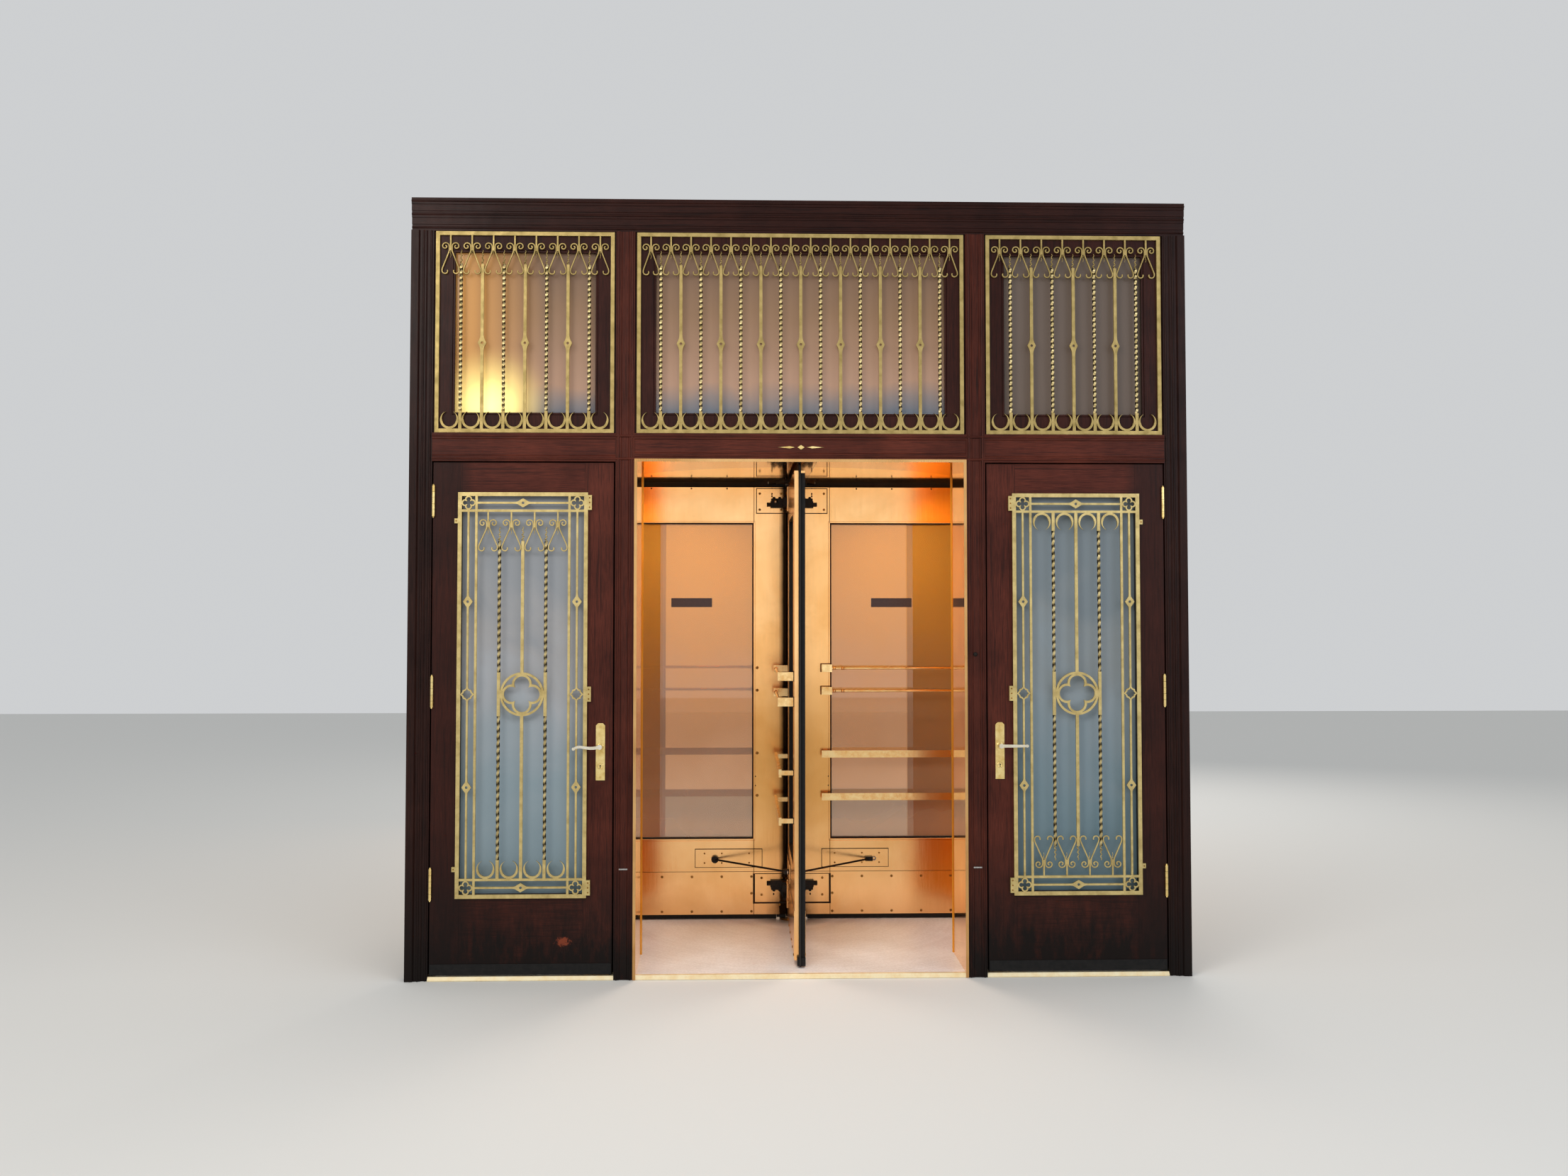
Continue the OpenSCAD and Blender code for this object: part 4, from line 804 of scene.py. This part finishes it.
middle = ((plate_low_x + plate_high_x) / 2, 4.95, (plate_low_z + plate_high_z) / 2)
rim_w, rim_h = plate_high_x - plate_low_x - 8.0, plate_high_z - plate_low_z - 8.0
plates = copies(ring_part(rim_w, rim_h, 1.2, 0.5), on_faces([middle]))
sheet_on_faces(plates, plate_low_x, plate_high_x, plate_low_z, plate_high_z, 3.9, 5.1, 0.3)
enamel, put, place = new_finish("dark_stove_enamel")
peel = put("TexNoise", {"Vector": place, "Scale": 1 / (4 * MM), "Detail": 3.0})
colour = put("ValToRGB", [peel], [(0.3, "#1f1210"), (0.7, "#32201c")])
bump = put("Bump", {"Height": peel, "Strength": 0.1, "Distance": 0.1 * MM})
put("OutputMaterial", [put("BsdfPrincipled", {"Base Color": colour, "Roughness": 0.3, "Normal": bump})])
keep_on_wings("bare_glass_plates", plates, enamel)

# Weather sweeps: black rubber in a channel down the outer edge and brushes above and below. The
# bristles reach almost to the wall, the floor and the ceiling, where a fixed ring of them closes the
# gap round the shaft's plate, and a rubber foot caps the channel.

floor_top, soffit = 20.0, 2154.0
ring_in, ring_out, hub_reach = 107.0, 115.4, 115.9
plate_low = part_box("ceiling_plate")[0].z / MM
bearing_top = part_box("floor_bearing")[1].z / MM
brush, put, place = new_finish("black_brush_bristles")
combed = put("Mapping", {"Vector": place, "Scale": (1 / (2 * MM), 1 / (2 * MM), 8.0)})
strands = put("TexNoise", {"Vector": combed, "Scale": 1.0, "Detail": 3.0})
colour = put("ValToRGB", [strands], [(0.35, "#040404"), (0.65, "#19140f")])
bump = put("Bump", {"Height": strands, "Strength": 0.8, "Distance": 1 * MM})
put("OutputMaterial", [put("BsdfPrincipled", {"Base Color": colour, "Roughness": 0.75, "Normal": bump})])
dress(rubber, "weather_sweeps")

brush_in, brush_out, half_y, hub_in, hub_half_y = 76.0, 957.0, 6.5, wing_in + 1.0, 14.0
bristles = bmesh.new()
for low, high, ease in (
    ((brush_in, -half_y, floor_top + 1.2), (brush_out, half_y, wing_low), 1.0),
    ((hub_reach + 0.1, -half_y, wing_high), (brush_out, half_y, soffit - 0.1), 0.1),
    ((hub_in, -hub_half_y, bearing_top + 1.2), (brush_in - 2.0, hub_half_y, wing_low), 1.0),
    ((hub_in, -hub_half_y, wing_high), (hub_reach, hub_half_y, plate_low - 1.2), 0.5),
    ((wing_tip - 6.0, -3.4, floor_top + 7.0), (wing_tip + 3.6, 3.4, soffit - 7.0), 1.0),
):
    eased_block(bristles, low, high, ease)
keep_on_wings("brush_bristles", bristles, brush)

ring_low, ring_high = plate_low - 0.3, soffit - 0.1
section = [(ring_in, ring_low), (ring_out, ring_low), (ring_out, ring_high), (ring_in, ring_high)]
keep("hub_seal_ring", turned_part(section + section[:1], 48), "screen", brush)

feet = bmesh.new()
eased_block(feet, (wing_out + 0.3, -12.0, 26.0), (wing_tip - 4.0, 23.1, 62.0), 3.0, 2)
keep_on_wings("sweep_feet", feet, rubber)

# Kick plates: bronze sheet screwed over the foot of each wing in two rows, with a dark joint line
# above. The screws are brass with dirt and painted shade in their slots, and a few dark ones hold the
# top rail.

kick_top, first_screw_x, screw_step, screw_rows = 251.0, 197.0, 145.0, (228.0, 60.0)
top_rail_z = 2123.0


def slotted_screw(radius, rise, slot):
    """The head of a slotted screw on the XY plane: a low dome with a slot cut across it."""
    head = bmesh.new()
    cone = {"segments": 14, "radius1": radius, "radius2": 0.72 * radius, "depth": rise}
    bmesh.ops.create_cone(head, cap_ends=True, **cone)
    bmesh.ops.translate(head, vec=(0, 0, rise / 2 - 0.2), verts=head.verts)
    for side in BOTH:
        whole = head.verts[:] + head.edges[:] + head.faces[:]
        bmesh.ops.bisect_plane(head, geom=whole, plane_co=(0, side * slot / 2, 0), plane_no=(0, 1, 0))
    strip = [f for f in head.faces if f.normal.z > 0.9 and abs(f.calc_center_median().y) < slot / 2]
    bmesh.ops.inset_region(head, faces=strip, thickness=0.02 * radius, depth=-0.7 * rise)
    return head


screw_brass_dirt_and_shade = aged_metal("screw_brass_with_dirt_and_shade", "#7c5424", "#c08e4c", 0.4, crevice_dirt_and_shade=0.9)
dice = random.Random(7)
any_turn = partial(dice.uniform, 0, 3)
spots = [(first_screw_x + screw_step * i, kick_y, z) for i in range(6) for z in screw_rows]
spots += [(first_screw_x, kick_y, 147.0), (60.0, kick_y, 92.0)]
screws = copies(slotted_screw(6.6, 3.0, 1.6), on_faces(spots, any_turn))
keep_on_wings("kick_plate_screws", screws, screw_brass_dirt_and_shade)

spots = [(x, skin_y, top_rail_z) for x in (98.0, 319.0, 494.0, 690.0, 880.0)]
rail_screws = copies(slotted_screw(4.2, 2.0, 1.2), on_faces(spots))
spots = [(178.0, skin_y, 713.0), (178.0, skin_y, 668.0), (98.0, skin_y, 2097.0)]
copies(slotted_screw(3.0, 2.0, 1.0), on_faces(spots), rail_screws)
keep_on_wings("rail_screws", rail_screws, black_iron)

joints = bmesh.new()
sheet_on_faces(joints, wing_in + 8.0, wing_out - 4.0, kick_top - 0.2, kick_top + 1.6, 22.2, 24.0, 0.4)
joint_black = black_finish("dark_bronze_joint", "#2c1808", "#5a3818", 0.5, 0.5)
keep_on_wings("kick_plate_joints", joints, joint_black)

# Hanger plates: thick bronze plates at the head and foot of each wing. Each sits on a dark sheet that
# stands for painted shadow round it and is held by brass screws; the lower ones lie in a wider recess,
# its shade painted the same way.

painted_shade_black = black_finish("painted_shade_plate_seat", "#1a0e06", "#3a2210", 0.6, 0.2)
plate_shadow_sheets = bmesh.new()
sheet_on_faces(plate_shadow_sheets, wing_in + 0.5, 176.0, 1998.8, 2125.2, 22.3, 24.5, 0.5)
sheet_on_faces(plate_shadow_sheets, wing_in + 0.5, 190.0, 97.0, 243.0, 24.3, 25.5, 0.5)
sheet_on_faces(plate_shadow_sheets, 144.0, 473.0, 272.0, 363.0, 22.3, 24.9, 0.5)
keep_on_wings("plate_painted_shadows", plate_shadow_sheets, painted_shade_black)

spots = [(x, plate_y, z) for x in (158.0, 52.0) for z in (2098.0, 2019.0)]
spots += [(148.0, foot_plate_y, 222.0), (148.0, foot_plate_y, 141.0), (50.0, foot_plate_y, 222.0)]
plate_screws = copies(slotted_screw(6.4, 2.6, 1.6), on_faces(spots, any_turn))
spots = [(x, plate_y, z) for x in (209.0, 342.0, 426.0) for z in (341.0, 295.0)]
copies(slotted_screw(4.6, 1.8, 1.2), on_faces(spots, any_turn), plate_screws)
keep_on_wings("plate_screws", plate_screws, screw_brass_dirt_and_shade)

# Dark slots in the plates: painted shade in the holes.
slot = [(-2.6, -5), (2.6, -5), (3.4, -2), (3.4, 2), (2.6, 5), (-2.6, 5), (-3.4, 2), (-3.4, -2)]
slots = copies(flat_part(slot, 0.6), on_faces([(98, 27.2, 2097), (98, 27.2, 2085), (89, 29.2, 144)]))
keep_on_wings("plate_slots", slots, painted_shade_black)

# Corner brackets: black cast-iron arms that clamp two wings to each other, with hexagon bolts at
# their ends, washers and a bright steel cap nut on the clamp that stays free of oil.

dress(black_iron, "hanger_brackets")


def hexagon_bolt(radius, head, washer):
    """A hexagon bolt head on a round washer, pointing up from the XY plane."""
    part = turned_part([(0.0, -0.2), (washer, -0.2), (washer, 1.6), (washer - 1.0, 2.4), (0.0, 2.4)], 18)
    hexagon = {"segments": 6, "radius1": radius, "radius2": radius, "depth": head}
    made = bmesh.ops.create_cone(part, cap_ends=True, **hexagon)["verts"]
    bmesh.ops.translate(part, vec=(0, 0, 2.3 + head / 2), verts=made)
    rim = [edge for edge in part.edges if all(v in made and v.co.z > head for v in edge.verts)]
    ease_edges(part, rim, 0.15 * radius, 2)
    return part


bolts_x, cap_spot = (60.0, 88.0), (80.0, 47.3, 2058.0)
top_arm, foot_arm = (1, 37.5, 2072.8), (-1, 39.5, 167.2)
places = []
for up, arm_y, face_z in (top_arm, foot_arm):
    for x in bolts_x:
        places += [facing((0, 0, up), spot) for spot in ((x, -arm_y, face_z), (arm_y, -x, face_z))]
keep_on_wings("bracket_bolts", copies(hexagon_bolt(6.5, 6.0, 9.0), places), black_iron)

profile = [(0.0, 0.0), (8.5, 0.0), (8.5, 4.0), (7.5, 8.0), (5.0, 11.0), (2.4, 12.4), (0.0, 12.8)]
caps = copies(turned_part(profile), [facing(REAR, cap_spot)])
keep_on_wings("bracket_cap_nuts", caps, pale_steel)

# Push bars: polished bronze tubes in square end blocks with turned collars, and flat bars below, on
# the trailing side of each wing. Their bolts pass through and show as round heads on the other side.

tube_heights, flat_heights, tube_y = (1133.0, 1243.0), (621.0, 827.0), -82.5
collars_x, bolts_x = (204.0, 246.0, 800.0, 842.0), (170.0, 880.0)
push_bronze = aged_metal("polished_push_bars", "#eab066", "#ffdc9e", 0.2)
dress(push_bronze, *(f"{wing}_push_bars" for wing in wings))
profile = [(6.2, -7), (8.2, -7), (9.4, -5), (8.2, -3), (8.2, 3), (9.4, 5), (8.2, 7), (6.2, 7), (6.2, -7)]
places = [facing((1, 0, 0), (x, tube_y, z)) for x in collars_x for z in tube_heights]
keep_on_wings("push_bar_collars", copies(turned_part(profile, 18), places), push_bronze)

# Dark sheets round the end blocks stand for their painted shadow on the wing.
block_shadow_sheets = bmesh.new()
for heights, feet, half_h in (
    (tube_heights, ((140.0, 196.0), (848.5, 904.5)), 21.5),
    (flat_heights, ((155.0, 181.0), (863.5, 889.5)), 13.0),
):
    for z in heights:
        for low_x, high_x in feet:
            eased_block(block_shadow_sheets, (low_x, -25.0, z - half_h), (high_x, -22.3, z + half_h), 0.6)
keep_on_wings("push_bar_painted_shadows", block_shadow_sheets, painted_shade_black)

bolt_heights = sorted(tube_heights + flat_heights, reverse=True)
spots = [(x, skin_y, z) for x in bolts_x for z in bolt_heights]
heads = copies(slotted_screw(7.6, 3.4, 2.4), [facing(REAR, spot, any_turn()) for spot in spots])
keep_on_wings("push_bar_through_bolts", heads, screw_brass_dirt_and_shade)

# Stay rods: thin black rods hooked from wing to wing. One end sits
# in a hook with a bright steel eye, the other in a turned black knob.

stay_z, eye_x, knob_x = 314.0, 401.0, 375.0
dress(black_iron, "stay_rods")
steps = [k * math.tau / 10 for k in range(11)]
profile = [(8.0 + 2.4 * math.cos(step), 2.4 * math.sin(step)) for step in steps]
eyes = copies(turned_part(profile), [facing(FRONT, (eye_x, -33.0, stay_z))])
keep_on_wings("stay_hook_eyes", eyes, pale_steel)
profile = [(0, 7.0), (12.0, 7.0), (17.6, 11.5), (17.6, 16.0), (14.0, 20.0), (6.0, 22.4), (0, 23.0)]
knobs = copies(turned_part(profile), [facing(REAR, (knob_x, 27.5, stay_z))])
keep_on_wings("stay_knob_caps", knobs, black_iron)

# Side door leaves: framed mahogany, the stiles running through and the rails jointed between them.
# The lock stile is lit and keeps its plain colour, the hinge stile gets painted shade, the foot is
# dark, and the left foot has a chip.

stile_in, stile_out = 0.907, 1.420
chip_x, chip_z, chip_half_w, chip_half_h = -0.990, 0.158, 0.040, 0.024
leaf_face = front_y + 14.0


def leaf_stiles(put, place):
    """1 on the stiles, where the grain stands upright, and 0 on the rails between them."""
    side = put("Math", [put("SeparateXYZ", [place], out="X")], operation="ABSOLUTE")
    middle = (stile_in + stile_out) / 2
    rail = put("Math", [side, middle, middle - stile_in], operation="COMPARE")
    return put("Math", [1.0, rail], operation="SUBTRACT")


def leaf_shade_and_wear(put, place, wood):
    """Painted shade on the hinge stile, joint lines between stiles and rails, and the chip."""
    side = put("Math", [put("SeparateXYZ", [place], out="X")], operation="ABSOLUTE")
    shade = put("MapRange", [side, stile_out - 0.05, stile_out + 0.01, 0.0, 0.62])
    wood = put("Mix", {0: shade, 6: wood, 7: "#150b09"}, **COLOURS)
    joint = [put("Math", [side, edge, 0.7 * MM], operation="COMPARE") for edge in (stile_in, stile_out)]
    joint = put("Math", joint, operation="MAXIMUM")
    joint = put("Math", [joint, 0.8], operation="MULTIPLY")
    wood = put("Mix", {0: joint, 6: wood, 7: "#0a0504"}, **COLOURS)
    scale = (1 / chip_half_w, 0.0, 1 / chip_half_h)
    centre = (-chip_x / chip_half_w, 0.0, -chip_z / chip_half_h)
    reach = put("Mapping", {"Vector": place, "Location": centre, "Scale": scale})
    reach = put("VectorMath", [reach], operation="LENGTH", out="Value")
    ragged = put("TexNoise", {"Vector": place, "Scale": 70.0, "Detail": 5.0, "Roughness": 0.7})
    chip = put("Math", [ragged, 2.2, reach], operation="MULTIPLY_ADD")
    chip = put("MapRange", [chip, 1.5, 1.9, 0.85, 0.0])
    return put("Mix", {0: chip, 6: wood, 7: "#7c3a24"}, **COLOURS)


leaf_mahogany = mahogany("framed_leaf_mahogany", leaf_stiles, "#2e140e", "#5c2a1e", 0.62, leaf_shade_and_wear)
dress(leaf_mahogany, "left_leaf", "right_leaf")
dress(rubber, "left_kick_strip", "right_kick_strip")

# Glass of the side doors: frosted like the transom lights, in a blue-grey that is clouded lighter at
# mid height.


def cloudy_grey(put, place):
    """Blue-grey from a darker foot to a lighter, warmer head, with soft cloudy patches."""
    side, height = (put("SeparateXYZ", [place], out=axis) for axis in "XZ")
    clouds = put("TexNoise", {"Vector": place, "Scale": 2.4, "Detail": 4.0, "Distortion": 0.8})
    share = put("Math", [clouds, 0.5, put("MapRange", [height, 0.35, 2.01])], operation="MULTIPLY_ADD")
    grey = put("ValToRGB", [share], [
        (0.2, "#6f848e"), (0.5, "#80919a"), (0.75, "#9a9fa6"), (0.9, "#959699"), (1.0, "#878c92"),
    ])
    right = put("Math", [side, 0.0], operation="GREATER_THAN")
    return put("Mix", {0: right, 6: grey, 7: "#d2dfe2"}, **DARKEN), 0.0


dress(frosted_glass("frosted_door_glass", cloudy_grey), "left_leaf_glass", "right_leaf_glass")

# Door grilles: the same aged brass as above, the right one hung upside down, with longer steps in
# their twisted bars. Screwed catches hold them at the lock side and pivots at the hinge side.

grille_low, grille_high, grille_w, grille_middle = 338.0, 2023.0, 541.0, 1163.5
grille_face, grille_deep, border_w, thin_bar = leaf_face - 16.0, 10.0, 72.0, 10.0
medallion_r, foot_ring_d, catch_x, catch_in, pivot_in = 91.0, 76.0, 277.5, 42.0, 120.0
pitch = (grille_w - 2 * border_w - thin_bar) / 4
field_w = grille_w - 2 * border_w - 2 * thin_bar
middle_z = (grille_low + grille_high) / 2
inner = middle_z - grille_low - border_w - thin_bar
doors = ((-1, "left", 1), (1, "right", -1))
for side, door, turned in doors:
    name, node, body = f"{door}_forged_leaf_grille", f"{door}_leaf_grille", f"{door}_door"
    middle = Vector((side * grille_middle, grille_face + grille_deep / 2, middle_z))
    under = middle_z + turned * inner
    forged_grille(name, node, body, middle, field_w, pitch, 4, under, grille_deep, grille_brass, turned)
    runs = []
    for x in (middle.x - pitch, middle.x + pitch):
        for ends in ((foot_ring_d - inner, -medallion_r), (medallion_r, inner - head_h + past_hooks)):
            runs.append((x, middle.y, *sorted(middle_z + turned * end for end in ends)))
    twisted_bars(f"{door}_tight_twisted_bars", f"{door}_leaf_twisted_bars", body, door_twist_step, runs)
for side, door, turned in doors:
    lock_x, hinge_side_x = side * (grille_middle - catch_x), side * (grille_middle + catch_x)
    places = []
    for z in (grille_low + catch_in, middle_z, grille_high - catch_in):
        for step in (-20.0, 0.0, 20.0):
            places.append(facing(FRONT, (lock_x, grille_face + 0.2, z + step), any_turn()))
    for z in (grille_low + pivot_in, grille_high - pivot_in):
        places.append(facing(FRONT, (hinge_side_x, grille_face + 0.2, z), 0.4))
    catches = copies(slotted_screw(3.6, 1.8, 1.0), places)
    keep(f"{door}_catch_screws", catches, f"{door}_door", screw_brass_dirt_and_shade)

# Hinges and locks: cast brass butts with five knuckles each, and brass lock plates with a spindle
# rose, a key cylinder and two screws. Lacquer keeps them yellow and bright.

dress(hardware_brass, "left_leaf_hardware", "right_leaf_hardware")
hinge_x, hinge_y, hinge_heights = 1537.7, -1086.4, (395.0, 1191.0, 1987.0)
butt_h, knuckle_r, knuckles = 127.0, 7.0, 5
lever_x, lever_z, key_z, plate_face = 837.0, 963.0, 881.0, leaf_face - 6.0
lock_screw_heights = (1044.0, 836.0)
gap = [(6.6, -0.5), (knuckle_r + 0.15, -0.5), (knuckle_r + 0.15, 0.5), (6.6, 0.5), (6.6, -0.5)]
tip = [(0, 0), (6.2, 0), (6.2, 1.2), (4.2, 2.2), (5.0, 4.2), (3.6, 6.6), (0, 7.6)]
rose = [(4.8, -0.2), (15, -0.2), (15, 2.4), (12.6, 4.6), (11.2, 5), (11.2, 3), (4.8, 3), (4.8, -0.2)]
cylinder = [(0, 0), (13, 0), (13, 2.6), (10.6, 4.4), (8.6, 4.4), (8, 3), (0, 3)]
slit = [(-1.4, -8), (1.4, -8), (1.4, -1), (3.2, 1.5), (2.4, 4.6), (-2.4, 4.6), (-3.2, 1.5), (-1.4, -1)]
for side, door, turned in doors:
    body, x = f"{door}_door", side * lever_x
    places, ends = [], []
    for middle in hinge_heights:
        for k in range(1, knuckles):
            spot = (side * hinge_x, hinge_y, middle + (k / knuckles - 0.5) * butt_h)
            places.append(facing((0, 0, 1), spot))
        for end in BOTH:
            spot = (side * hinge_x, hinge_y, middle + end * (butt_h / 2 - 0.1))
            ends.append(facing((0, 0, end), spot))
    # Dark rings between the knuckles: painted shade in the gaps.
    keep(f"{door}_knuckle_gaps", copies(turned_part(gap, 16), places), body, painted_shade_black)
    keep(f"{door}_hinge_tips", copies(turned_part(tip, 16), ends), body, hardware_brass)
    lock = copies(turned_part(rose, 28), [facing(FRONT, (x, plate_face, lever_z))])
    copies(turned_part(cylinder, 28), [facing(FRONT, (x, plate_face + 0.2, key_z))], lock)
    places = [facing(FRONT, (x, plate_face + 0.2, z), 0.8) for z in lock_screw_heights]
    copies(slotted_screw(4.4, 1.8, 1.2), places, lock)
    keep(f"{door}_lock_fittings", lock, body, hardware_brass)
    # A dark slit on the cylinder: painted shade in the keyhole.
    keyhole = copies(flat_part(slit, 0.5), [facing(FRONT, (x, plate_face - 2.7, key_z))])
    keep(f"{door}_keyhole", keyhole, body, painted_shade_black)

# Levers: cast brass, once silvered, on spindles through the lock plates. Hands have worn them pale
# and smooth.

dress(aged_metal("worn_lever_brass", "#d8ccac", "#fbf4e2", 0.24), "left_lever", "right_lever")
